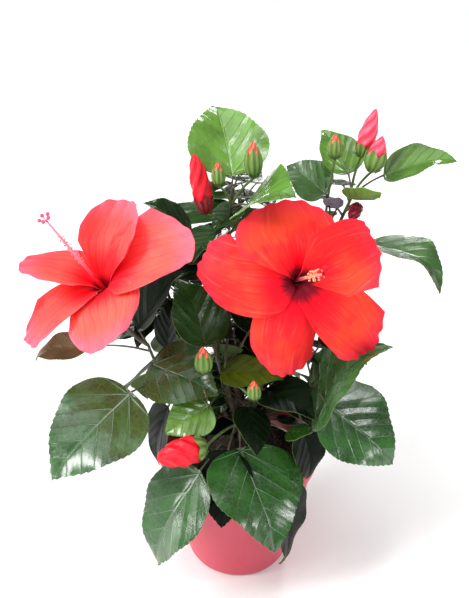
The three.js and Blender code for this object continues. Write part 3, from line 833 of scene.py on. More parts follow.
class Value:
    """A number socket of a node tree; arithmetic on it adds Math nodes."""

    __add__, __radd__ = operation("ADD"), operation("ADD", swapped=True)
    __sub__, __rsub__ = operation("SUBTRACT"), operation("SUBTRACT", swapped=True)
    __mul__, __rmul__ = operation("MULTIPLY"), operation("MULTIPLY", swapped=True)
    __truediv__, __pow__, __abs__ = operation("DIVIDE"), operation("POWER"), operation("ABSOLUTE")
    upto, atleast, over = operation("MINIMUM"), operation("MAXIMUM"), operation("GREATER_THAN")

    def __init__(self, tree: "Tree", socket: Any) -> None:
        """Wrap a socket of a tree."""
        self.tree, self.socket = tree, socket

    def wave(self) -> "Value":
        """Return the distance to the nearest whole number, 0 to 0.5."""
        return abs(self - self.tree.math("ROUND", self))

    def ramp(self, low: float, high: float) -> "Value":
        """Make a smooth step.

        Args:
            low: Where it is 0.
            high: Where it is 1, over or under low.

        Returns:
            The step.
        """
        sockets = {"Value": self, "From Min": min(low, high), "From Max": max(low, high)}
        step = Value(self.tree, self.tree.out("ShaderNodeMapRange", sockets, interpolation_type="SMOOTHSTEP"))
        return step if low < high else 1 - step


class Tree:
    """A node tree that is built by calls."""

    def __init__(self, tree: bpy.types.NodeTree) -> None:
        """Wrap a Blender node tree."""
        self.tree = tree

    def node(
        self, kind: str, settings: dict[str, Any] | None = None, sockets: dict[Any, Any] | None = None
    ) -> bpy.types.Node:
        """Add a node.

        Args:
            kind: The node's type.
            settings: Its properties, which are set first.
            sockets: Values or links of its input sockets, by name or number.

        Returns:
            The node.
        """
        node = self.tree.nodes.new(kind)
        for name, value in (settings or {}).items():
            setattr(node, name, value)
        for key, value in (sockets or {}).items():
            socket = node.inputs[key]
            if isinstance(value, Value):
                value = value.socket
            if isinstance(value, bpy.types.NodeSocket):
                self.tree.links.new(value, socket)
            else:
                socket.default_value = value
        return node

    def out(self, kind: str, sockets: dict[Any, Any] | None = None, **settings: Any) -> Any:
        """Return the first output of a new node, whose properties come by keyword."""
        return self.node(kind, settings, sockets).outputs[0]

    def math(self, kind: str, *values: Any) -> Value:
        """Return the result of a Math node on values or numbers."""
        return Value(self, self.out("ShaderNodeMath", dict(enumerate(values)), operation=kind))

    def vector(self, kind: str, sockets: dict[Any, Any]) -> Any:
        """Return the result of a Vector Math node."""
        return self.out("ShaderNodeVectorMath", sockets, operation=kind)

    def split(self, vector: Any) -> tuple[Value, Value, Value]:
        """Return the three parts of a vector socket."""
        node = self.node("ShaderNodeSeparateXYZ", sockets={0: vector})
        return tuple(Value(self, socket) for socket in node.outputs)


class Shader(Tree):
    """A material's node tree, with the calls that its finishes share."""

    def __init__(self, name: str) -> None:
        """Start an empty material.

        Args:
            name: Its name.
        """
        self.material = bpy.data.materials.new(name)
        self.material.use_nodes = True
        super().__init__(self.material.node_tree)
        self.tree.nodes.clear()

    def attribute(self, name: str) -> Any:
        """Return the vector socket of a mesh attribute."""
        return self.node("ShaderNodeAttribute", {"attribute_name": name}).outputs["Vector"]

    def here(self) -> Any:
        """Return the object coordinates."""
        return self.node("ShaderNodeTexCoord").outputs["Object"]

    def scaled(self, vector: Any, by: tuple[float, float, float]) -> Any:
        """Return a vector times another, part by part."""
        return self.vector("MULTIPLY", {0: vector, 1: by})

    def noise(self, vector: Any, scale: float, detail: float = 3.0, rough: float = 0.55) -> Value:
        """Return noise from 0 to 1 on a vector."""
        sockets = {"Vector": vector, "Scale": scale, "Detail": detail, "Roughness": rough}
        return Value(self, self.out("ShaderNodeTexNoise", sockets))

    def cells(self, vector: Any, scale: float) -> Value:
        """Lay a cell pattern on a vector.

        Args:
            vector: The vector.
            scale: The pattern's scale.

        Returns:
            The distance to the nearest edge between cells.
        """
        sockets = {"Vector": vector, "Scale": scale}
        node = self.node("ShaderNodeTexVoronoi", {"feature": "DISTANCE_TO_EDGE"}, sockets)
        return Value(self, node.outputs["Distance"])

    def colour(self, factor: Value, a: Any, b: Any) -> Any:
        """Return the mix of two colours, plain tuples or sockets, by a factor."""
        a, b = ((*x, 1.0) if isinstance(x, tuple) else x for x in (a, b))
        return self.node("ShaderNodeMix", {"data_type": "RGBA"}, {0: factor, 6: a, 7: b}).outputs[2]

    def finish(self, bump: Value, height: float, **sockets: Any) -> Skin:
        """Close the tree with a Principled shader.

        Args:
            bump: The relief, from 0 to 1.
            height: The relief's depth in metres.
            **sockets: The shader's sockets, with underscores for spaces.

        Returns:
            The material.
        """
        relief = self.out("ShaderNodeBump", {"Strength": 1.0, "Distance": height, "Height": bump})
        named = {key.replace("_", " "): value for key, value in sockets.items()}
        skin = self.out("ShaderNodeBsdfPrincipled", {**named, "Normal": relief})
        self.node("ShaderNodeOutputMaterial", sockets={"Surface": skin})
        return self.material


# Finishes


@dataclass(frozen=True)
class VeinSizes:
    """The course of a leaf's side veins in blade lengths, and of the fan of veins at its base."""

    start: float = 0.03
    slope: float = 0.9
    curve: float = 0.5
    pitch: float = 0.185
    first: float = 0.72
    fan: float = 0.6

    def rank(self, x: Array, y: Array) -> Array:
        """Number a blade's points by their place between the side veins.

        Args:
            x: Distances from the midrib, in blade lengths.
            y: Distances from the blade's base, in blade lengths.

        Returns:
            Whole numbers on the veins, and what lies between two in between them.
        """
        side = np.abs(x)
        course = y - self.start - self.slope * side - self.curve * side**2
        fan = (np.arctan2(y - self.start, side + 1e-4) - self.first) / self.fan
        return np.where(course > 0, course / self.pitch, fan)


VEINS = VeinSizes()


@dataclass(frozen=True)
class LeafFinish:
    """A leaf's skin: the blade's colour, its veins' colour and how far they show, and its gloss."""

    name: str
    blade: Colour
    vein: Colour
    trace: float = 0.5
    rough: float = 0.26
    gloss: float = 0.5
    under: Colour = (0.1, 0.16, 0.05)

    def veins(self, shader: Shader, x: Value, y: Value) -> tuple[Value, Value]:
        """Draw the veins on a blade's own coordinates.

        Args:
            shader: The tree to draw in.
            x: Distance from the midrib, in blade lengths.
            y: Distance from the blade's base, in blade lengths.

        Returns:
            The mask of the veins and the swelling between them.
        """
        side = abs(x)
        course = y - VEINS.start - VEINS.slope * side - VEINS.curve * side * side
        angle = shader.math("ARCTAN2", y - VEINS.start, side + 0.0001)
        fan = (angle - VEINS.first) / VEINS.fan
        upper = course.over(0)
        rank = upper * (course / VEINS.pitch) + (1 - upper) * fan
        radius = shader.math("SQRT", side * side + y * y)
        gap = rank.wave() * (upper * (0.76 * VEINS.pitch) + (1 - upper) * VEINS.fan * radius)
        width = 0.0075 - 0.015 * side
        lateral = (1 - (gap / width.atleast(0.0018)).upto(1)) * (1 - 1.5 * side)
        midrib = 1 - (side / (0.014 - 0.011 * y)).upto(1)
        return lateral.atleast(midrib), rank.wave() * 2

    def material(self) -> Skin:
        """Return the finish as a material."""
        shader = Shader(f"leaf_{self.name}")
        place = shader.attribute("blade")
        x, y, side = shader.split(place)
        mask, swell = self.veins(shader, x, y)
        net = 1 - (shader.cells(place, 22.0) / 0.09).upto(1)
        pucker = shader.noise(shader.here(), 85.0, 1.5)
        mottle = shader.noise(shader.here(), 38.0, 4.0)
        deep = tuple(c * 0.5 for c in self.blade)
        top = shader.colour(mottle.ramp(0.3, 0.7), deep, self.blade)
        top = shader.colour(net * 0.12 * self.trace, top, self.vein)
        top = shader.colour(mask.ramp(0.1, 0.8) * self.trace * (1.1 - y), top, self.vein)
        under = shader.colour(mask.ramp(0.1, 0.7), self.under, tuple(c * 1.5 for c in self.under))
        front = side.over(0)
        colour = shader.colour(front, under, top)
        rough = self.rough + (1 - front) * 0.3 + mottle.ramp(0.35, 0.75) * 0.03
        bump = 0.5 * swell ** 0.6 - 0.3 * mask + 0.02 * (1 - net) + 0.25 * pucker
        return shader.finish(
            bump,
            0.0011,
            Base_Color=colour,
            Roughness=rough,
            Specular_IOR_Level=self.gloss,
            Coat_Weight=front * (0.12 * self.gloss),
            Coat_Roughness=0.13,
        )


LEAF_FINISHES = {
    # The near-black finish paints shade on the leaves inside the crown.
    Tone.PAINTED_SHADE: LeafFinish("painted_shade", (0.003, 0.009, 0.002), (0.012, 0.026, 0.008), 0.25, 0.36, 0.07),
    Tone.DEEP: LeafFinish("deep", (0.013, 0.055, 0.003), (0.09, 0.14, 0.05), 0.5, 0.26, 0.25),
    Tone.MID: LeafFinish("mid", (0.018, 0.1, 0.009), (0.26, 0.34, 0.24), 0.8, 0.26, 0.8),
    Tone.OLIVE: LeafFinish("olive", (0.085, 0.125, 0.002), (0.17, 0.2, 0.02), 0.4, 0.32, 0.2),
    Tone.RUSSET: LeafFinish("russet", (0.1, 0.05, 0.015), (0.16, 0.11, 0.04), 0.5, 0.32, 0.2),
    Tone.FRESH: LeafFinish("fresh", (0.13, 0.32, 0.03), (0.42, 0.56, 0.28), 0.55, 0.24, 0.8),
    Tone.LIGHT: LeafFinish(
        "light", (0.09, 0.23, 0.022), (0.3, 0.43, 0.17), 0.5, 0.24, 0.5, (0.2, 0.36, 0.06)
    ),
    # Lighter blade colour: painted sheen, on top of the real gloss of these leaves.
    Tone.PAINTED_SHEEN: LeafFinish("painted_sheen", (0.055, 0.15, 0.035), (0.25, 0.33, 0.2), 0.5, 0.26, 0.7),
    Tone.LILAC: LeafFinish(
        "lilac", (0.13, 0.13, 0.14), (0.26, 0.23, 0.25), 0.5, 0.3, 0.5, (0.26, 0.25, 0.34)
    ),
    Tone.BRONZE: LeafFinish(
        "bronze", (0.05, 0.13, 0.03), (0.2, 0.24, 0.14), 0.5, 0.26, 0.5, (0.28, 0.18, 0.15)
    ),
}


@dataclass(frozen=True)
class PetalFinish:
    """A petal's skin: its colours from the middle out and in, with pale streaks of painted glare, and how far
    the throat's reaches.
    """

    name: str
    face: Colour
    cloud: Colour
    painted_glare: Colour
    margin: Colour
    base: Colour
    throat: Colour
    reach: float

    def material(self) -> Skin:
        """Return the finish as a material."""
        shader = Shader(f"petal_{self.name}")
        place = shader.attribute("blade")
        x, y, side = shader.split(place)
        edge = abs(x)
        wander = shader.noise(shader.scaled(place, (5.0, 2.0, 0.0)), 1.0, 2.0)
        line = 1 - ((x * 6.5 + wander * 1.6).wave() / 0.2).upto(1)
        fine = 1 - ((x * 17.0 + wander * 3.0).wave() / 0.25).upto(1)
        cloud = shader.noise(shader.here(), 26.0, 3.0)
        glare_streak = shader.noise(shader.scaled(place, (9.0, 1.6, 0.0)), 1.0, 3.0)
        face = shader.colour(cloud.ramp(0.4, 0.6), self.face, self.cloud)
        # Pale streaks over the middle of the petal: a painted highlight.
        face = shader.colour(glare_streak.ramp(0.52, 0.78) * y.ramp(0.2, 0.5) * 0.6, face, self.painted_glare)
        rim = (y.ramp(0.72, 1.02)).atleast(edge.ramp(0.62, 1.0) * y.ramp(0.25, 0.7))
        face = shader.colour(rim * 0.8, face, self.margin)
        face = shader.colour(y.ramp(0.62, 0.22) * (1 - 0.35 * edge), face, self.base)
        face = shader.colour((line * 0.4 + fine * 0.15) * y.ramp(1.0, 0.3), face, self.base)
        ray = y + wander * 0.06 - line * 0.025 - fine * 0.01
        dark = ray.ramp(self.reach + 0.07, self.reach - 0.05)
        colour = shader.colour(dark, face, self.throat)
        back = shader.colour(y * 0.6, self.face, self.margin)
        colour = shader.colour(side.over(0), back, colour)
        bump = 0.3 * line + 0.15 * fine + 0.6 * cloud
        return shader.finish(
            bump,
            0.0005,
            Base_Color=colour,
            Roughness=0.5 + 0.15 * cloud,
            Specular_IOR_Level=0.14,
            Subsurface_Weight=0.12,
            Subsurface_Radius=(1.0, 0.12, 0.1),
            Subsurface_Scale=0.003,
        )


# In both petal finishes the pale streak colour is a painted highlight.
PETALS_RED = PetalFinish(
    "red",
    face=(0.93, 0.02, 0.022),
    cloud=(0.96, 0.06, 0.026),
    painted_glare=(0.98, 0.2, 0.15),
    margin=(0.93, 0.022, 0.06),
    base=(0.85, 0.0, 0.015),
    throat=(0.16, 0.0, 0.01),
    reach=0.19,
)
# A lighter, pinker copy of the red petals: painted light, for the bloom that looks brighter in stronger
# light.
PETALS_ROSE_LIT = PetalFinish(
    "rose",
    face=(0.95, 0.085, 0.08),
    cloud=(0.96, 0.12, 0.09),
    painted_glare=(0.98, 0.2, 0.22),
    margin=(0.97, 0.15, 0.23),
    base=(0.85, 0.003, 0.018),
    throat=(0.35, 0.0, 0.01),
    reach=0.12,
)


@dataclass(frozen=True)
class ColumnFinish:
    """The skin of a bloom's column, which pales from its root to its tip."""

    name: str
    root: Colour
    tip: Colour

    def material(self) -> Skin:
        """Return the finish as a material."""
        shader = Shader(f"column_{self.name}")
        _x, y, _side = shader.split(shader.attribute("blade"))
        cloud = shader.noise(shader.here(), 300.0, 3.0)
        colour = shader.colour((y + cloud * 0.2).ramp(0.25, 0.75), self.root, self.tip)
        return shader.finish(cloud, 0.0002, Base_Color=colour, Roughness=0.4 + 0.1 * cloud)


@dataclass(frozen=True)
class PlainFinish:
    """A mottled finish for small parts: two colours, a roughness and a fine relief."""

    name: str
    light: Colour
    dark: Colour
    rough: float = 0.5
    scale: float = 120.0
    relief: float = 0.0003

    def material(self) -> Skin:
        """Return the finish as a material."""
        shader = Shader(self.name)
        cloud = shader.noise(shader.here(), self.scale, 4.0, 0.6)
        colour = shader.colour(cloud.ramp(0.3, 0.7), self.dark, self.light)
        return shader.finish(cloud, self.relief, Base_Color=colour, Roughness=self.rough + 0.1 * cloud)


@dataclass(frozen=True)
class BudFinish:
    """A bud's skin: ribs that wind up the furled petals, or the plain green of a calyx."""

    name: str
    light: Colour
    dark: Colour
    ribs: float = 5.0
    wind: float = 0.7

    def material(self) -> Skin:
        """Return the finish as a material."""
        shader = Shader(f"bud_{self.name}")
        x, y, height = shader.split(shader.attribute("blade"))
        round_share = shader.math("ARCTAN2", y, x) / (2 * math.pi)
        rib = (round_share * self.ribs + height * self.wind * self.ribs).wave() * 2
        cloud = shader.noise(shader.here(), 160.0, 3.0)
        shade = shader.colour(rib.ramp(0.1, 0.8), self.dark, self.light)
        colour = shader.colour(cloud * 0.5, shade, self.light)
        rough = 0.35 + 0.15 * cloud
        return shader.finish(rib, 0.0008, Base_Color=colour, Roughness=rough, Specular_IOR_Level=0.3)


BARK = PlainFinish("bark", (0.12, 0.085, 0.05), (0.035, 0.022, 0.013), 0.75, 220.0, 0.0008)
SHOOT = PlainFinish("shoot", (0.07, 0.09, 0.03), (0.025, 0.028, 0.012), 0.45, 150.0, 0.0003)
PETIOLE = PlainFinish("petiole", (0.09, 0.09, 0.045), (0.04, 0.028, 0.024), 0.4, 90.0, 0.0002)
POLLEN_GOLD = PlainFinish("pollen_gold", (0.95, 0.52, 0.24), (0.95, 0.22, 0.12), 0.7, 900.0, 0.0003)
POLLEN_PINK = PlainFinish("pollen_pink", (0.95, 0.42, 0.42), (0.9, 0.14, 0.2), 0.7, 900.0, 0.0003)
STIGMA_RED = PlainFinish("stigma_red", (0.75, 0.0, 0.02), (0.5, 0.0, 0.01), 0.8, 900.0, 0.0003)
STIGMA_PINK = PlainFinish("stigma_pink", (0.9, 0.16, 0.3), (0.75, 0.05, 0.16), 0.8, 900.0, 0.0003)
COLUMN_RED = ColumnFinish("red", (0.2, 0.0, 0.012), (0.95, 0.3, 0.25))
COLUMN_ROSE = ColumnFinish("rose", (0.75, 0.005, 0.025), (0.95, 0.35, 0.5))
BUD_STALK = PlainFinish("bud_stalk", (0.13, 0.21, 0.06), (0.05, 0.08, 0.025), 0.4, 90.0, 0.0002)
SOIL = PlainFinish("soil", (0.05, 0.03, 0.018), (0.012, 0.007, 0.005), 0.95, 260.0, 0.002)
CRUMB = PlainFinish("crumb", (0.09, 0.055, 0.032), (0.012, 0.008, 0.005), 0.95, 300.0, 0.0004)
CALYX_GREEN = BudFinish("calyx", (0.17, 0.28, 0.06), (0.06, 0.12, 0.02), 10.0, 0.0)
CALYX_WINE = BudFinish("calyx_wine", (0.26, 0.012, 0.02), (0.06, 0.006, 0.008), 10.0, 0.0)
BUD_SCARLET = BudFinish("scarlet", (0.97, 0.012, 0.03), (0.55, 0.0, 0.012))
BUD_ROSY = BudFinish("rosy", (0.95, 0.12, 0.2), (0.85, 0.012, 0.035))
BUD_WINE = BudFinish("wine", (0.35, 0.01, 0.04), (0.08, 0.003, 0.015))
BUD_TIP = BudFinish("tip", (0.9, 0.2, 0.1), (0.75, 0.02, 0.03))


@dataclass(frozen=True)
class BudLook:
    """A bud's finishes, the share of its length that the calyx covers and how crumpled its petals are."""

    petals: BudFinish
    calyx: BudFinish
    covered: float
    crumple: float


BUD_LOOKS = {
    Stage.TIPPED: BudLook(BUD_TIP, CALYX_GREEN, 0.86, 0.0),
    Stage.OPENING: BudLook(BUD_ROSY, CALYX_GREEN, 0.62, 0.3),
    Stage.FURLED: BudLook(BUD_ROSY, CALYX_GREEN, 0.3, 0.4),
    Stage.CRUMPLED: BudLook(BUD_SCARLET, CALYX_GREEN, 0.26, 1.0),
    Stage.FADED: BudLook(BUD_SCARLET, CALYX_WINE, 0.34, 1.0),
    Stage.WINE: BudLook(BUD_WINE, CALYX_WINE, 0.35, 0.3),
}


@dataclass(frozen=True)
class PotFinish:
    """Moulded pot plastic with faint scuffs."""

    plastic: Colour = (0.57, 0.05, 0.09)
    scuffed: Colour = (0.63, 0.09, 0.135)

    def material(self) -> Skin:
        """Return the finish as a material."""
        shader = Shader("pot_plastic")
        here = shader.here()
        scuff = shader.noise(shader.scaled(here, (60.0, 60.0, 14.0)), 1.0, 6.0, 0.7).ramp(0.55, 0.75)
        grain = shader.noise(here, 1600.0, 2.0)
        colour = shader.colour(scuff * 0.4, self.plastic, self.scuffed)
        return shader.finish(grain, 0.00006, Base_Color=colour, Roughness=0.42 + scuff * 0.2)


# Meshes


def placed(name: str, data: Any) -> Piece:
    """Add an object to the scene.

    Args:
        name: Its name.
        data: The mesh, curve, light or camera that it holds.

    Returns:
        The object.
    """
    piece = bpy.data.objects.new(name, data)
    bpy.context.scene.collection.objects.link(piece)
    return piece


def plain(source: Piece, name: str) -> Piece:
    """Make an object's evaluated shape a plain mesh.

    Args:
        source: The object with its modifiers, which is used up.
        name: The new piece's name.

    Returns:
        The new piece.
    """
    graph = bpy.context.evaluated_depsgraph_get()
    mesh = bpy.data.meshes.new_from_object(source.evaluated_get(graph), depsgraph=graph)
    mesh.name = name
    bpy.data.objects.remove(source)
    return placed(name, mesh)


def grid(rows: Sequence[float], columns: Sequence[float]) -> tuple[Array, Array]:
    """Return the row's value and the column's value at each point of a grid."""
    down, across = np.meshgrid(rows, columns, indexing="ij")
    return down, across


def circle(count: int, whole: float = 2 * np.pi) -> Array:
    """Return even steps round a circle, up to but without its end."""
    return np.linspace(0, whole, count, endpoint=False)


def about(
    origin: Array, frame: Axes, reach: Array, out: Array, angle: Array
) -> Array:
    """Lay points round an axis.

    Args:
        origin: Where the axis begins.
        frame: The axis and the two unit vectors across it.
        reach: How far along the axis each point lies.
        out: How far from the axis it lies.
        angle: How far round the axis it lies, in radians.

    Returns:
        The points.
    """
    ahead, level, above = frame
    return (
        origin
        + reach[..., None] * ahead
        + (out * np.cos(angle))[..., None] * level
        + (out * np.sin(angle))[..., None] * above
    )


def turned(profile: Sequence[tuple[float, float]], count: int) -> Array:
    """Turn a profile about the vertical axis.

    Args:
        profile: Its radii and heights.
        count: How many times it stands round the axis.

    Returns:
        The points, profile first.
    """
    radii, heights = zip(*profile)
    (out, angle), (height, _angle) = grid(radii, circle(count)), grid(heights, circle(count))
    return about(np.zeros(3), UPRIGHT, height, out, angle)


def smoothed(knots: Array, fractions: Array) -> Array:
    """Lay points on the smooth curve through knots.

    Args:
        knots: The knots.
        fractions: Fractions of the curve.

    Returns:
        The points.
    """
    x = fractions * (len(knots) - 1)
    i = np.minimum(x.astype(int), len(knots) - 2)
    t = (x - i)[:, None]
    padded = np.vstack([2 * knots[0] - knots[1], knots, 2 * knots[-1] - knots[-2]])
    a, b, c, d = (padded[i + k] for k in range(4))
    return 0.5 * (
        2 * b + (c - a) * t + (2 * a - 5 * b + 4 * c - d) * t**2 + (3 * b - a - 3 * c + d) * t**3
    )


def border(points: Array) -> Array:
    """Return the points round the edge of a grid, closed."""
    return np.concatenate([points[:, 0], points[-1, 1:], points[-2::-1, -1], points[0, -2::-1]])


def polyline(curve: bpy.types.Curve, points: Sequence[Array], radii: Sequence[float]) -> None:
    """Add a line to a curve.

    Args:
        curve: The curve.
        points: The line's points in millimetres.
        radii: Its radius at each point in millimetres.
    """
    spline = curve.splines.new("POLY")
    spline.points.add(len(points) - 1)
    for spot, point, radius in zip(spline.points, points, radii):
        spot.co = (*(point * METRES), 1.0)
        spot.radius = radius * METRES


class Draft:
    """A mesh being put together, with its pattern coordinates, its bake map and its finishes."""

    MARGIN, SPAN = 0.04, 0.92  # of a sheet's own square of the bake map

    def __init__(self, cells: int = 1) -> None:
        """Start an empty draft.

        Args:
            cells: How many sheets get a square of the bake map each.
        """
        self.points: list[Array] = []
        self.marks: list[Array] = []
        self.faces: list[tuple[int, ...]] = []
        self.spots: list[tuple[float, float]] = []
        self.slots: list[int] = []
        self.materials: list[Skin] = []
        self.count = self.cell = 0
        self.side = max(1, math.ceil(math.sqrt(cells)))

    def sheet(
        self, points: Array, marks: Array, material: Skin, flip: bool = False, loop: bool = False
    ) -> None:
        """Add a grid of points as a sheet of quads.

        Args:
            points: Its points, rows by columns by three, in millimetres.
            marks: Its pattern coordinates, of the same shape.
            material: Its finish.
            flip: Whether its faces are turned round.
            loop: Whether its last column joins its first.
        """
        rows, columns = points.shape[:2]
        span = columns if loop else columns - 1
        if material not in self.materials:
            self.materials.append(material)
        left, low = (n + self.MARGIN for n in (self.cell % self.side, self.cell // self.side))
        self.cell += 1
        for i in range(rows - 1):
            for j in range(span):
                corners = [(i, j), (i, j + 1), (i + 1, j + 1), (i + 1, j)]
                if flip:
                    corners.reverse()
                self.faces.append(tuple(self.count + a * columns + b % columns for a, b in corners))
                self.spots += [
                    (
                        (left + self.SPAN * b / span) / self.side,
                        (low + self.SPAN * a / (rows - 1)) / self.side,
                    )
                    for a, b in corners
                ]
        self.slots += [self.materials.index(material)] * ((rows - 1) * span)
        self.points.append(points.reshape(-1, 3))
        self.marks.append(marks.reshape(-1, 3))
        self.count += rows * columns

    def slab(
        self, faces: list[Array], place: tuple[Array, ...], material: Skin, rim: Colour, flip: bool
    ) -> None:
        """Add a thin body as two sheets and the strip that closes their edge.

        Args:
            faces: The points of its front sheet and its back sheet.
            place: The first two pattern coordinates of both; the third tells front from back.
            material: Its finish.
            rim: The pattern coordinates of the whole edge.
            flip: Whether its front faces are turned round.
        """
        for side, points in zip((1.0, -1.0), faces):
            marks = np.stack([*place, np.full(place[0].shape, side)], axis=-1)
            self.sheet(points, marks, material, flip=(side > 0) == flip)
        edge = np.stack([border(points) for points in faces])
        self.sheet(edge, np.broadcast_to(rim, edge.shape), material, flip=flip)

    def piece(self, name: str) -> Piece:
        """Make the draft an object with its place in its mesh.

        Args:
            name: The object's name.

        Returns:
            The object.
        """
        mesh = bpy.data.meshes.new(name)
        points = np.concatenate(self.points) * METRES
        mesh.from_pydata(points.tolist(), [], self.faces)
        for material in self.materials:
            mesh.materials.append(material)
        mesh.polygons.foreach_set("material_index", self.slots)
        mesh.polygons.foreach_set("use_smooth", [True] * len(self.faces))
        pattern = mesh.attributes.new("blade", "FLOAT_VECTOR", "POINT")
        pattern.data.foreach_set("vector", np.concatenate(self.marks).astype(np.float32).ravel())
        bake = mesh.uv_layers.new(name="OFBake")
        bake.uv.foreach_set("vector", np.array(self.spots, dtype=np.float32).ravel())
        mesh.update()
        return placed(name, mesh)


def deliver(piece: Piece, slot: str, *nodes: str) -> None:
    """Hand a finished piece over to the frame and report it.

    Args:
        piece: The finished object.
        slot: The record's material slot; it is not used.
        *nodes: The CAD nodes that it stands for.
    """
    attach(piece, "root")
    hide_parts(*nodes)
    log.info("%s: %d faces", piece.name, len(piece.data.polygons))


class Grower(Tree):
    """A Geometry Nodes tree that is built in the script, run on an object and made plain mesh."""

    KINDS = ((int, "Int"), (float, "Float"), (Skin, "Material"))

    def __init__(self, name: str, **inputs: Any) -> None:
        """Start a tree.

        Args:
            name: The tree's name.
            **inputs: The value of each named input.
        """
        self.values = inputs
        self.group = bpy.data.node_groups.new(name, "GeometryNodeTree")
        face = self.group.interface
        face.new_socket("Geometry", in_out="INPUT", socket_type="NodeSocketGeometry")
        for key, value in inputs.items():
            kind = next(kind for form, kind in self.KINDS if isinstance(value, form))
            face.new_socket(key, in_out="INPUT", socket_type=f"NodeSocket{kind}")
        face.new_socket("Geometry", in_out="OUTPUT", socket_type="NodeSocketGeometry")
        super().__init__(self.group)
        self.given = self.node("NodeGroupInput").outputs

    def number(self, name: str) -> Value:
        """Return a named number input for arithmetic."""
        return Value(self, self.given[name])

    def scatter(self, spots: Any, shape: Any, **sockets: Any) -> None:
        """Set a shape on points, turned and scaled by the sockets given, and end the tree."""
        wired = {"Points": spots, "Instance": shape, **sockets}
        self.close(self.out("GeometryNodeInstanceOnPoints", wired))

    def close(self, geometry: Any) -> None:
        """End the tree in Realize Instances and Set Material.

        Args:
            geometry: What it has grown.
        """
        real = self.out("GeometryNodeRealizeInstances", {0: geometry})
        smooth = self.out("GeometryNodeSetShadeSmooth", {0: real})
        dressed = self.out("GeometryNodeSetMaterial", {0: smooth, "Material": self.given["Material"]})
        self.node("NodeGroupOutput", sockets={0: dressed})

    def grow(self, source: Piece, name: str) -> Piece:
        """Run the tree on a source object, which is used up.

        Args:
            source: The object that carries the modifier while it runs.
            name: The new piece's name.

        Returns:
            The result as a plain mesh object.
        """
        modifier = source.modifiers.new("grow", "NODES")
        modifier.node_group = self.group
        for item in self.group.interface.items_tree:
            if item.in_out == "INPUT" and item.name in self.values:
                modifier[item.identifier] = self.values[item.name]
        return plain(source, name)


class Limbs:
    """Round limbs along lines: trunk, boughs, stems, twigs and stalks, with the relief of their bark."""

    def __init__(self, material: Skin, sides: int, relief: float, grain: float) -> None:
        """Start a set of limbs.

        Args:
            material: Their finish.
            sides: Faces round a limb.
            relief: The bark's depth in metres.
            grain: The scale of the bark's noise.
        """
        self.data = bpy.data.curves.new("limbs", "CURVE")
        self.data.dimensions = "3D"
        tree = Grower("limb_tube", Sides=sides, Relief=relief, Grain=grain, Material=material)
        sockets = {"Radius": 1.0, "Resolution": tree.given["Sides"]}
        ring = tree.out("GeometryNodeCurvePrimitiveCircle", sockets)
        sockets = {
            "Curve": tree.given["Geometry"],
            "Profile Curve": ring,
            "Scale": tree.out("GeometryNodeInputRadius"),
            "Fill Caps": True,
        }
        sweep = tree.out("GeometryNodeCurveToMesh", sockets)
        bark = tree.out("ShaderNodeTexNoise", {"Scale": tree.given["Grain"], "Detail": 3.0})
        lift = (Value(tree, bark) - 0.5) * tree.number("Relief")
        offset = tree.vector("SCALE", {0: tree.out("GeometryNodeInputNormal"), "Scale": lift})
        tree.close(tree.out("GeometryNodeSetPosition", {"Geometry": sweep, "Offset": offset}))
        self.tree = tree

    def follow(self, line: Line, radius: Callable[[float], float], steps: int) -> None:
        """Add a limb along a line, smoothed into more steps.

        Args:
            line: The line.
            radius: Its radius in millimetres at a fraction of it.
            steps: How many steps it gets.
        """
        knots = np.array([place.point for place in line])
        fractions = np.linspace(0, 1, steps + 1)
        polyline(self.data, smoothed(knots, fractions), [radius(f) for f in fractions])

    def piece(self, name: str) -> Piece:
        """Return the limbs as one plain mesh object."""
        return self.tree.grow(placed("limbs", self.data), name)


# The shrub's pieces


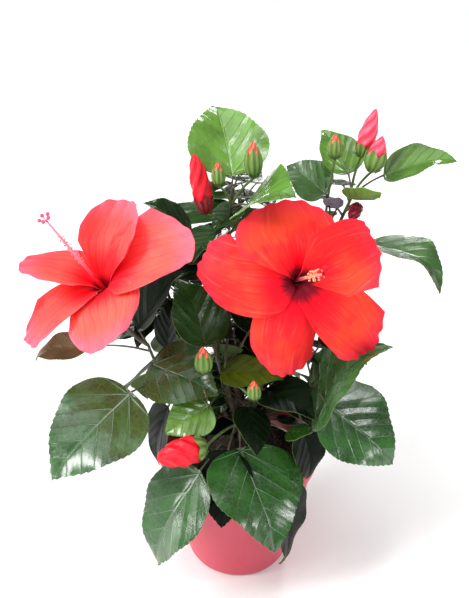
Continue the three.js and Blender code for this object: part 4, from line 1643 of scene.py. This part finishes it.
@dataclass
class Foliage:
    """The leaves, stalks and buds of one mass."""

    shrub: Shrub
    skins: dict[Tone, Skin]
    shoot: Skin
    petiole: Skin
    bud_stalk: Skin
    buds: dict[BudFinish, Skin]
    teeth: int = 13
    tooth: float = 0.012
    thick: float = 0.5
    swell: float = 0.0065
    groove: float = 0.006
    sway: float = 0.012
    ripple: float = 0.02
    ripples: float = 2.6
    bracts: int = 7
    base_rows: tuple[float, ...] = (0.0, 0.008, 0.02, 0.04, 0.065, 0.095, 0.13, 0.17, 0.22)
    toothed: tuple[float, float] = (0.26, 0.96)
    columns: tuple[float, ...] = (0.07, 0.18, 0.34, 0.52, 0.7, 0.86, 1)
    bud_grid: tuple[int, int] = (22, 40)
    bract_long: float = 9.0
    bract_half: float = 0.9

    def outline(self, fraction: Array) -> Array:
        """Return a blade's half width, as a share of its greatest, at fractions of its length."""
        taper = ((1 - fraction) / 0.667).clip(0) ** (0.84 + 0.22 * fraction)
        return (fraction / 0.333) ** 0.42 * taper

    def rows(self) -> tuple[Array, Array]:
        """Return the fractions of a blade's rows and how far out a tooth stands at each."""
        first, last = self.toothed
        step = (last - first) / self.teeth
        rows, teeth = list(self.base_rows), [0.0] * len(self.base_rows)
        for k in range(self.teeth):
            rows += [first + k * step, first + (k + 0.36) * step, first + (k + 0.74) * step]
            teeth += [0.0, 0.55, 1.0]
        return np.array([*rows, 0.97, 1.0]), np.array([*teeth, 0.0, 0.0])

    def leaf(self, draft: Draft, base: Array, row: Leaf, roll: Dice) -> None:
        """Add one leaf blade: toothed, swollen between its veins and rippled at its margin.

        Args:
            draft: The mesh that it joins.
            base: The end of its stalk.
            row: Its own numbers.
            roll: The stream for its small differences.
        """
        blade, length = Blade(base, row), row.length
        fraction, teeth = self.rows()
        f, s = grid(fraction, [*(-x for x in reversed(self.columns)), 0, *self.columns])
        tooth = np.where(np.abs(s) == 1, teeth[:, None], 0) * self.tooth
        half = self.outline(f) * row.wide / 2
        x = s * half + np.sign(s) * tooth * 0.55
        y = f + tooth * 0.8
        ridge, rank = np.abs(x), VEINS.rank(x, y)
        between = np.sin(np.pi * np.abs(rank - np.round(rank)))
        swell = self.swell * between * (1 - np.abs(s) ** 4) * (1 - np.exp(-ridge / 0.03))
        groove = -self.groove * np.exp(-((ridge / 0.016) ** 2))
        phase, twist = roll() * ROUND, roll.spread(0.5)
        wave = np.sin(2 * np.pi * self.ripples * f + phase + 1.7 * np.sign(s))
        ripple = self.ripple * np.abs(s) ** 3 * wave
        sway = self.sway * np.sin(6.5 * y + 5 * x + phase) * np.sin(np.pi * f)
        fold = row.fold * np.sqrt((half * s) ** 2 + 0.0002) + twist * 0.06 * s * f + sway
        edge = min(1.0, 0.4 + length / 120)
        rise = length * (swell + groove + ripple * edge * f * (1.3 - f) * 2 + fold)
        share = (Blade.SUNK + y * length) / (Blade.SUNK + length)
        faces = [blade.place(share, x * length, rise + side * self.thick / 2) for side in (1, -1)]
        draft.slab(faces, (x, y), self.skins[row.tone], (0.4, 0.4, -0.4), flip=True)

    def bud(self, draft: Draft, base: Array, row: Bud) -> None:
        """Add one bud: furled petals that wind to a point, the calyx round them and its bracts.

        Args:
            draft: The mesh that it joins.
            base: The end of its stalk.
            row: Its own numbers.
        """
        look, half, frame = BUD_LOOKS[row.stage], row.girth / 2, axes(row.swing, row.fall)
        parts = (
            (look.petals, look.covered * 0.5, 1.0, 0.0, look.crumple, self.furl),
            (look.calyx, 0.0, look.covered, half * 0.1, look.covered, self.cup),
        )
        for finish, low, high, stand, given, radius in parts:
            h, a = grid(np.linspace(low, high, self.bud_grid[0]), circle(self.bud_grid[1], 1))
            reach, out = radius(h, a, given)
            angle = a * 2 * np.pi
            points = about(base, frame, reach * row.length, out * half + stand, angle)
            marks = np.stack([np.cos(angle), np.sin(angle), h], axis=-1)
            draft.sheet(points, marks, self.buds[finish], loop=True)
        for angle in circle(self.bracts):
            self.bract(draft, base, frame, angle, row)

    def furl(self, h: Array, a: Array, crumple: float) -> tuple[Array, Array]:
        """Shape furled petals.

        Args:
            h: Heights, as shares of the bud's length.
            a: Shares of the way round.
            crumple: How crumpled they are, 0 to 1.

        Returns:
            Their reach and radius there, as shares of the bud's length and half girth.
        """
        body = np.sin(np.pi * h.clip(0, 1) ** (0.75 + 0.1 * crumple)) ** (0.8 - 0.25 * crumple) * 0.95
        ribs = 1 + 0.1 * np.cos(2 * np.pi * 5 * (a + 0.7 * h)) * (1 - h * (1 - 0.6 * crumple))
        wrinkle = np.sin(2 * np.pi * 9 * (a - 0.25 * h)) * np.sin(9 * h + 2 * np.sin(2 * np.pi * 3 * a))
        return h, (body * (ribs + 0.05 * crumple * wrinkle)).clip(0.01)

    def cup(self, h: Array, a: Array, covered: float) -> tuple[Array, Array]:
        """Shape a bud's calyx, whose rim has five points.

        Args:
            h: Heights, as shares of the bud's length.
            a: Shares of the way round.
            covered: The share of the bud's length that it covers.

        Returns:
            Its reach and radius there, as shares of the bud's length and half girth.
        """
        reach = h - (h / covered) ** 3 * covered * 0.3 * five_points(a)
        body = np.sin(np.pi * reach.clip(0, 1) ** 0.75) ** 0.8
        return reach, (body * (1 + 0.04 * np.cos(2 * np.pi * 10 * a))).clip(0.12)

    def bract(self, draft: Draft, base: Array, frame: Axes, angle: float, row: Bud) -> None:
        """Add one narrow bract at the foot of a bud.

        Args:
            draft: The mesh that it joins.
            base: The end of the bud's stalk.
            frame: The bud's axis and the two unit vectors across it.
            angle: The bract's place round the bud, in radians.
            row: The bud's own numbers.
        """
        ahead, level, above = frame
        out = math.cos(angle) * level + math.sin(angle) * above
        f, s = grid(np.linspace(0, 1, 6), (-1, 0, 1))
        long = min(0.34 * row.length, self.bract_long)
        width = self.bract_half * np.sin(np.pi * (0.12 + 0.88 * f)) ** 0.7
        points = (
            base
            + (0.45 * long * f * (1.5 - 0.5 * f))[..., None] * ahead
            + (row.girth * 0.2 + long * 0.75 * f)[..., None] * out
            + (s * width)[..., None] * np.cross(ahead, out)
        )
        marks = np.stack([np.ones(f.shape), s * 0.3, f], axis=-1)
        skin = self.buds[BUD_LOOKS[row.stage].calyx]
        draft.sheet(points, marks, skin)
        draft.sheet(points - 0.3 * ahead, marks, skin, flip=True)

    def build(self, row: Mass) -> None:
        """Build one mass's pieces: its leaves, its stems and stalks, and its buds.

        Args:
            row: The mass.
        """
        shoots = self.shrub.shoots[row.name]
        leaves = [(shoot, leaf) for shoot in shoots for leaf in shoot.leaves]
        buds = [(shoot, bud) for shoot in shoots for bud in shoot.buds]
        blades, roll = Draft(SLAB_SHEETS * len(leaves)), Dice(row.grows.seed + 11)
        stems = Limbs(self.shoot, sides=12, relief=0.0004, grain=260.0)
        stalks = Limbs(self.petiole, sides=8, relief=0.0002, grain=300.0)
        for shoot in shoots:
            stems.follow(shoot.line, lambda f, s=shoot: blend(s.root, s.tip, f) * 0.9, 24)
        for shoot, leaf in leaves:
            line = self.shrub.stalk(shoot.line, leaf)
            stalks.follow(line, lambda f: blend(1.15, 0.75, f) + 0.35 * max(0.0, f - 0.88) / 0.12, 12)
            self.leaf(blades, line[-1].point, leaf, roll)
        deliver(blades.piece(f"{row.name}_leaves"), "leaf", row.name)
        if buds:
            drafts = Draft(2 * (1 + self.bracts) * len(buds))
            green = Limbs(self.bud_stalk, sides=10, relief=0.0002, grain=300.0)
            for shoot, bud in buds:
                line = self.shrub.stalk(shoot.line, bud)
                green.follow(line, lambda f: blend(1.3, 1.1, f), 12)
                self.bud(drafts, line[-1].point, bud)
            deliver(drafts.piece(f"{row.name}_buds"), "bloom", row.name)
            deliver(green.piece(f"{row.name}_bud_stalks"), "leaf", row.name)
        deliver(stems.piece(f"{row.name}_stems"), "bark", row.name)
        deliver(stalks.piece(f"{row.name}_stalks"), "leaf", row.name)


@dataclass(frozen=True)
class BloomLook:
    """The finishes of one bloom and how its stamens stand on its column, in metres where it is a size."""

    petals: PetalFinish
    column: ColumnFinish
    pollen: PlainFinish
    stigma: PlainFinish
    stamens: int
    first: float
    last: float
    filament: float
    anther: float


RED_LOOK = BloomLook(PETALS_RED, COLUMN_RED, POLLEN_GOLD, STIGMA_RED, 24, 0.58, 0.88, 0.0036, 0.0009)
ROSE_LOOK = BloomLook(PETALS_ROSE_LIT, COLUMN_ROSE, POLLEN_PINK, STIGMA_PINK, 44, 0.42, 0.8, 0.002, 0.0007)


@dataclass
class OpenBloom:
    """One open bloom: ruffled petals, the column with its stamens, calyx and stalk."""

    shrub: Shrub
    flower: Flower
    look: BloomLook
    thick: float = 0.5
    ruffle: float = 2.4
    pleat: float = 0.5
    sunk: float = 4.0
    column_root: float = 2.0
    column_taper: float = 1.15
    arm: float = 4.2
    pad: float = 1.6

    def petals(self) -> Piece:
        """Build the petals."""
        draft, roll = Draft(SLAB_SHEETS * len(self.flower.petals)), Dice(len(self.flower.name) * 91)
        throat, skin = self.shrub.throat(self.flower), self.look.petals.material()
        f, s = grid(np.linspace(0, 1, 34), np.linspace(-1, 1, 37))
        for petal in self.flower.petals:
            sheet = PetalSheet(throat, self.flower, petal)
            phase = roll() * ROUND
            fine = np.sin(19 * s + phase)
            edge = f**4 * (0.35 + 0.65 * np.abs(s))
            ruffle = self.ruffle * edge * np.sin(6.5 * s + phase) + f**6 * fine
            pleat = self.pleat * np.sin(s * 9 + 2 * np.sin(3 * f) + phase) * f * (1 - f) * 2
            lobe = 1.005 + 0.012 * np.sin(6 * s + 2 * phase) + 0.005 * fine
            along_petal, rise = f * blend(1, lobe, f**2), ruffle + pleat
            faces = [sheet.place(along_petal, s, rise + side * self.thick / 2) for side in (1, -1)]
            draft.slab(faces, (s * (0.4 + 0.6 * f), f), skin, (0.9, 0.9, 0.9), flip=False)
        return draft.piece(f"{self.flower.name}_petals")

    def column(self) -> Line:
        """Return the line of the column that the stamens stand on."""
        root = self.shrub.throat(self.flower) - heading(self.flower.turn, self.flower.rise) * self.sunk
        return walk(root, self.flower.column)

    def shaft(self) -> Piece:
        """Build the column itself."""
        draft, fractions = Draft(), np.linspace(0, 1, 31)
        points = smoothed(np.array([place.point for place in self.column()]), fractions)
        radii = self.column_root - self.column_taper * fractions**0.8
        self.rod(draft, points, radii, self.look.column.material(), fractions)
        return draft.piece(f"{self.flower.name}_column")

    def stamens(self) -> Piece:
        """Grow the stamens round the outer part of the column."""
        look = self.look
        tree = Grower(
            "stamens",
            Count=look.stamens,
            From=look.first,
            To=look.last,
            Filament=look.filament,
            Anther=look.anther,
            Turn=math.radians(DIVERGENCE),
            Material=look.pollen.material(),
        )
        given = tree.given
        sockets = {0: given["Geometry"], "Start": given["From"], "End": given["To"]}
        part = tree.out("GeometryNodeTrimCurve", sockets)
        spots = tree.out("GeometryNodeResampleCurve", {0: part, "Count": given["Count"]})
        tangent, normal = tree.out("GeometryNodeInputTangent"), tree.out("GeometryNodeInputNormal")
        spin = Value(tree, tree.out("GeometryNodeInputIndex")) * tree.number("Turn")
        sockets = {"Vector": normal, "Axis": tangent, "Angle": spin}
        outward = tree.out("ShaderNodeVectorRotate", sockets)
        lean = tree.vector("SCALE", {0: tangent, "Scale": 0.45})
        sockets = {"Vector": tree.vector("ADD", {0: outward, 1: lean})}
        facing = tree.out("FunctionNodeAlignRotationToVector", sockets, axis="Z")
        sockets = {
            "Vertices": 5,
            "Radius Top": 0.00018,
            "Radius Bottom": 0.0003,
            "Depth": given["Filament"],
        }
        rod = tree.out("GeometryNodeMeshCone", sockets)
        sockets = {"Radius": given["Anther"], "Subdivisions": 2}
        ball = tree.out("GeometryNodeMeshIcoSphere", sockets)
        height = tree.number("Filament") + tree.number("Anther") * 0.6
        raised = tree.out("ShaderNodeCombineXYZ", {"Z": height})
        sockets = {0: ball, "Translation": raised, "Scale": (1.25, 0.8, 0.75)}
        head = tree.out("GeometryNodeTransform", sockets)
        both = tree.node("GeometryNodeJoinGeometry")
        for shape in (rod, head):
            tree.tree.links.new(shape, both.inputs[0])
        tree.scatter(spots, both.outputs[0], Rotation=facing)
        data = bpy.data.curves.new("column", "CURVE")
        data.dimensions = "3D"
        line = self.column()
        polyline(data, [place.point for place in line], [1.0] * len(line))
        return tree.grow(placed("column", data), f"{self.flower.name}_stamens")

    def stigmas(self) -> Piece:
        """Build the five stigmas at the column's end."""
        draft, skin, end = Draft(10), self.look.stigma.material(), self.column()[-1]
        ahead, level, above = axes(end.turn, end.rise)
        t = np.linspace(-0.3, 1, 6)[:, None]
        for angle in circle(5) + 0.4:
            out = math.cos(angle) * level + math.sin(angle) * above
            points = end.point + ahead * self.arm * t + out * self.arm * t.clip(0) ** 1.5
            self.rod(draft, points, np.full(6, 0.4), skin, np.zeros(6))
            h, a = grid(np.linspace(0.02, np.pi - 0.02, 8), circle(12))
            ball = about(points[-1], UPRIGHT, self.pad * np.cos(h), self.pad * np.sin(h), a)
            draft.sheet(ball, np.zeros(ball.shape), skin, loop=True)
        return draft.piece(f"{self.flower.name}_stigmas")

    def rod(self, draft: Draft, line: Array, radii: Array, skin: Skin, marks: Array) -> None:
        """Add a thin round rod.

        Args:
            draft: The mesh that it joins.
            line: Its points.
            radii: Its radius at each point.
            skin: Its finish.
            marks: Its pattern coordinate at each point.
        """
        ahead = line[-1] - line[0]
        side = np.cross(ahead, UP)
        side /= np.linalg.norm(side)
        above = np.cross(side, ahead / np.linalg.norm(ahead))
        a = circle(12)
        ring = np.cos(a)[:, None] * side + np.sin(a)[:, None] * above
        points = line[:, None] + radii[:, None, None] * ring[None]
        marks = np.broadcast_to(marks[:, None, None], points.shape)
        draft.sheet(points, marks, skin, loop=True, flip=True)

    def calyx(self, green: Skin) -> Piece:
        """Build the calyx tube with its five points.

        Args:
            green: Its finish.

        Returns:
            The piece.
        """
        draft, seat = Draft(2), self.shrub.bloom_stalk(self.flower)[-1].point
        f, a = grid(np.linspace(0, 1, 14), circle(40, 1))
        point, angle = five_points(a), a * 2 * np.pi
        reach = -3 + (self.flower.tube + 9) * f * (1 - 0.4 * f**3 * point)
        out = 2.2 + 4.8 * np.sin(np.pi / 2 * f.clip(0, 1)) ** 0.8 + 2.0 * f**3 * (1 - point)
        marks = np.stack([np.cos(angle), np.sin(angle), f], axis=-1)
        for inside, shrink in enumerate((0.0, 0.5)):
            points = about(seat, axes(self.flower.turn, self.flower.rise), reach, out - shrink, angle)
            draft.sheet(points, marks, green, loop=True, flip=bool(inside))
        return draft.piece(f"{self.flower.name}_calyx")

    def build(self, petiole: Skin, green: Skin) -> None:
        """Build all pieces of the bloom.

        Args:
            petiole: The finish of its stalk.
            green: The finish of its calyx.
        """
        name = self.flower.name
        for piece in (self.petals(), self.shaft(), self.stamens(), self.stigmas()):
            deliver(piece, "bloom", name)
        deliver(self.calyx(green), "leaf", name)
        stalk = Limbs(petiole, sides=12, relief=0.0003, grain=260.0)
        stalk.follow(self.shrub.bloom_stalk(self.flower), lambda f: blend(1.8, 2.1, f), 24)
        deliver(stalk.piece(f"{name}_stalk"), "leaf", name)


@dataclass
class Wood:
    """The trunk and the boughs, each a mesh with the relief of its bark."""

    shrub: Shrub
    bark: Skin
    flare: float = 11.0
    flare_height: float = 16.0

    def trunk_radius(self, fraction: float) -> float:
        """Return the trunk's radius with its root flare at a fraction of its length."""
        flare = max(0.0, 1 - fraction * TRUNK.course.length / self.flare_height) ** 2
        return blend(TRUNK.root, TRUNK.tip, fraction) + (self.flare - TRUNK.root) * flare

    def build(self) -> None:
        """Build the trunk and the boughs."""
        trunk = Limbs(self.bark, sides=28, relief=0.0012, grain=140.0)
        trunk.follow(self.shrub.trunk, self.trunk_radius, 48)
        deliver(trunk.piece("trunk_bark"), "bark", "trunk")
        boughs = Limbs(self.bark, sides=16, relief=0.0008, grain=180.0)
        for row in BOUGHS:
            boughs.follow(self.shrub.boughs[row.name], lambda f, r=row: blend(r.root, r.tip, f), 36)
        deliver(boughs.piece("boughs_bark"), "bark", *[row.name for row in BOUGHS])


@dataclass
class PottedSoil:
    """The pot with its drain holes, and the crumbly soil in it."""

    pot: Skin
    soil: Skin
    crumb: Skin
    segments: int = 120
    centre: float = 0.01
    cut_low: float = -6.0
    cut_high: float = 10.0
    soil_level: float = 111.6

    def lathe(self, profile: list[tuple[float, float]], material: Skin, name: str) -> Piece:
        """Turn a profile of radii and heights about the vertical axis.

        Args:
            profile: The profile in millimetres, from the axis round to the axis.
            material: The piece's finish.
            name: The piece's name.

        Returns:
            The piece.
        """
        draft, points = Draft(), turned(profile, self.segments)
        draft.sheet(points, np.zeros(points.shape), material, loop=True)
        return draft.piece(name)

    def shell(self) -> Piece:
        """Build the pot's wall, band, lip and floor, then cut its drain holes."""
        p, outer, band = POT, POT.outer, POT.height - POT.band
        turns = np.linspace(0, 1.25, 7)
        heel = [(p.base - p.heel * (1 - math.sin(t)), p.heel * (1 - math.cos(t))) for t in turns]
        profile = [
            (self.centre, 0),
            (p.base - p.heel - 1, 0),
            *heel,
            (outer(p.heel + 2), p.heel + 2),
            (outer(band) - 0.2, band - 0.8),
            (outer(band) + 0.4, band - 0.1),
            (outer(band) + p.lip - 0.4, band + 0.1),
            (outer(band) + p.lip, band + 0.9),
            (p.rim, p.height - 1.2),
            (p.rim - 0.3, p.height - 0.3),
            (p.rim - 1.1, p.height),
            (outer(p.height) - p.wall + 0.8, p.height),
            (outer(p.height) - p.wall + 0.1, p.height - 0.6),
            (outer(p.floor + 3) - p.wall, p.floor + 3),
            (outer(p.floor) - p.wall - 3, p.floor),
            (self.centre, p.floor),
        ]
        body = self.lathe(profile, self.pot, "pot_raw")
        cutter = Draft(p.holes)
        corners = ((self.centre, self.cut_low), (p.hole, self.cut_low))
        column = turned([*corners, *((r, self.cut_high) for r, _z in reversed(corners))], 24)
        for i in range(p.holes):
            centre = heading(360 * i / p.holes, 0) * p.ring
            cutter.sheet(centre + column, np.zeros(column.shape), self.pot, loop=True)
        tool = cutter.piece("drain_holes")
        cut = body.modifiers.new("drain", "BOOLEAN")
        cut.operation, cut.object, cut.solver = "DIFFERENCE", tool, "EXACT"
        piece = plain(body, "pot_shell")
        bpy.data.objects.remove(tool)
        return piece

    def bed(self) -> Piece:
        """Build the body of the soil with its uneven top."""
        p = POT
        inner = [p.outer(z) - p.wall - 0.5 for z in (p.floor, p.floor + 4, p.soil_edge)]
        profile = [(self.centre, p.floor + 0.4), (inner[0] - 3, p.floor + 0.4), (inner[1], p.floor + 4)]
        profile += [(inner[2] * r, z) for r, z in ((1, p.soil_edge), (0.94, 110.2), (0.84, 111))]
        profile += [(r, self.soil_level) for r in (54, 46, 38, 30, 22, 14, 7, self.centre)]
        return self.lathe(profile, self.soil, "soil_bed")

    def crumbs(self, bed: Piece) -> Piece:
        """Scatter crumbs of bark and mineral over the top of the soil.

        Args:
            bed: The body of the soil.

        Returns:
            The crumbs.
        """
        tree = Grower(
            "soil_crumbs", Density=90000.0, Low=0.0006, High=0.0026, Level=0.105, Seed=5, Material=self.crumb
        )
        given = tree.given
        height = tree.node("ShaderNodeSeparateXYZ", sockets={0: tree.out("GeometryNodeInputPosition")})
        sockets = {
            0: given["Geometry"],
            "Selection": Value(tree, height.outputs[2]).over(tree.number("Level")),
            "Seed": given["Seed"],
            "Density": given["Density"],
        }
        spots = tree.out("GeometryNodeDistributePointsOnFaces", sockets)
        sockets = {2: given["Low"], 3: given["High"], "Seed": given["Seed"]}
        size = tree.node("FunctionNodeRandomValue", {"data_type": "FLOAT"}, sockets)
        facing = tree.out("FunctionNodeRandomValue", {1: (6.3, 6.3, 6.3)}, data_type="FLOAT_VECTOR")
        grain = tree.out("GeometryNodeMeshIcoSphere", {"Radius": 1.0, "Subdivisions": 1})
        flat = tree.out("GeometryNodeTransform", {0: grain, "Scale": (1.0, 0.7, 0.55)})
        tree.scatter(spots, flat, Rotation=facing, Scale=size.outputs[1])
        return tree.grow(placed("crumbs", bed.data.copy()), "soil_crumbs")

    def build(self) -> None:
        """Build the pot and the soil."""
        deliver(self.shell(), "pot", "pot")
        bed = self.bed()
        deliver(self.crumbs(bed), "soil", "soil")
        deliver(bed, "soil", "soil")


@dataclass(frozen=True)
class Lamp:
    """A far soft light: where it stands by turn and rise, how wide it looks, in degrees, and its strength."""

    name: str
    turn: float
    rise: float
    spread: float
    power: float


@dataclass
class Studio:
    """A pale floor, soft lights and the camera at the photograph's angle."""

    focal: float = 680.0
    picture: float = 598.0
    sensor: float = 36.0
    camera_at: tuple[float, float, float] = (-0.004, -0.592, 0.511)
    pitch: float = 21.0
    reach: float = 60000.0
    fill: float = 0.16
    window: float = 0.2
    lamps: tuple[Lamp, ...] = (
        Lamp("key", 208, 29, 16, 1.7),
        Lamp("upper_key", 212, 44, 15, 1.3),
        Lamp("top", 200, 80, 60, 1.5),
        Lamp("high", 299, 48, 11, 0.7),
        Lamp("front", 248, 28, 8, 0.3),
        Lamp("right", -2, 27, 10, 0.7),
        Lamp("back", 75, 34, 10, 0.7),
        Lamp("low_left", 166, 8, 8, 0.3),
        Lamp("low_back", 104, 9, 9, 0.25),
    )

    def sun(self, row: Lamp) -> None:
        """Place one far light.

        Args:
            row: The light.
        """
        data = bpy.data.lights.new(row.name, "SUN")
        data.energy, data.angle = row.power, math.radians(row.spread)
        placed(row.name, data).rotation_euler = (math.radians(90 - row.rise), 0, math.radians(row.turn + 90))

    def floor(self) -> None:
        """Lay the floor."""
        shader = Shader("studio_floor")
        speckle = shader.noise(shader.here(), 300.0, 2.0)
        colour = shader.colour(speckle * 0.04, (0.92, 0.92, 0.92), (0.86, 0.86, 0.86))
        material = shader.finish(speckle, 0.00005, Base_Color=colour, Roughness=0.9)
        draft, span = Draft(), np.linspace(-self.reach, self.reach, 3)
        y, x = grid(span, span)
        points = np.stack([x, y, np.zeros(x.shape)], axis=-1)
        draft.sheet(points, points, material)
        draft.piece("floor")

    def sky(self) -> bpy.types.World:
        """Return the white room round the object: bright low down, dimmer overhead and to the right."""
        world = bpy.data.worlds.new("studio")
        world.use_nodes = True
        tree, background = Tree(world.node_tree), world.node_tree.nodes["Background"]
        room = tree.node("ShaderNodeTexCoord").outputs["Generated"]
        x, _y, z = tree.split(room)
        fill = self.fill + self.window * x.ramp(0.3, -0.8)
        strength = fill.atleast(z.ramp(0.09, 0.05))
        tree.tree.links.new(strength.socket, background.inputs["Strength"])
        background.inputs["Color"].default_value = (1, 1, 1, 1)
        return world

    def build(self) -> None:
        """Set the world, floor, lights and camera."""
        scene = bpy.context.scene
        scene.view_settings.view_transform = "Standard"
        scene.world = self.sky()
        self.floor()
        for row in self.lamps:
            self.sun(row)
        data = bpy.data.cameras.new("view")
        data.sensor_width, data.lens = self.sensor, self.focal / self.picture * self.sensor
        camera = placed("view", data)
        camera.location = self.camera_at
        camera.rotation_euler = (math.radians(90 - self.pitch), 0, 0)
        scene.camera = camera


def main() -> None:
    """Build the shrub, its pot and the studio."""
    logging.basicConfig(level=logging.INFO, format="%(message)s")
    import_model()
    Studio().build()
    shrub = Shrub()
    shoot, petiole, stalk, green = (row.material() for row in (SHOOT, PETIOLE, BUD_STALK, CALYX_GREEN))
    skins = {tone: finish.material() for tone, finish in LEAF_FINISHES.items()}
    Wood(shrub, BARK.material()).build()
    PottedSoil(PotFinish().material(), SOIL.material(), CRUMB.material()).build()
    finishes = [finish for look in BUD_LOOKS.values() for finish in (look.petals, look.calyx)]
    buds = {finish: finish.material() for finish in dict.fromkeys(finishes)}
    foliage = Foliage(shrub, skins, shoot, petiole, stalk, buds)
    for row in MASSES:
        foliage.build(row)
    for flower, look in zip(FLOWERS, (RED_LOOK, ROSE_LOOK)):
        OpenBloom(shrub, flower, look).build(petiole, green)


if __name__ == "__main__":
    main()
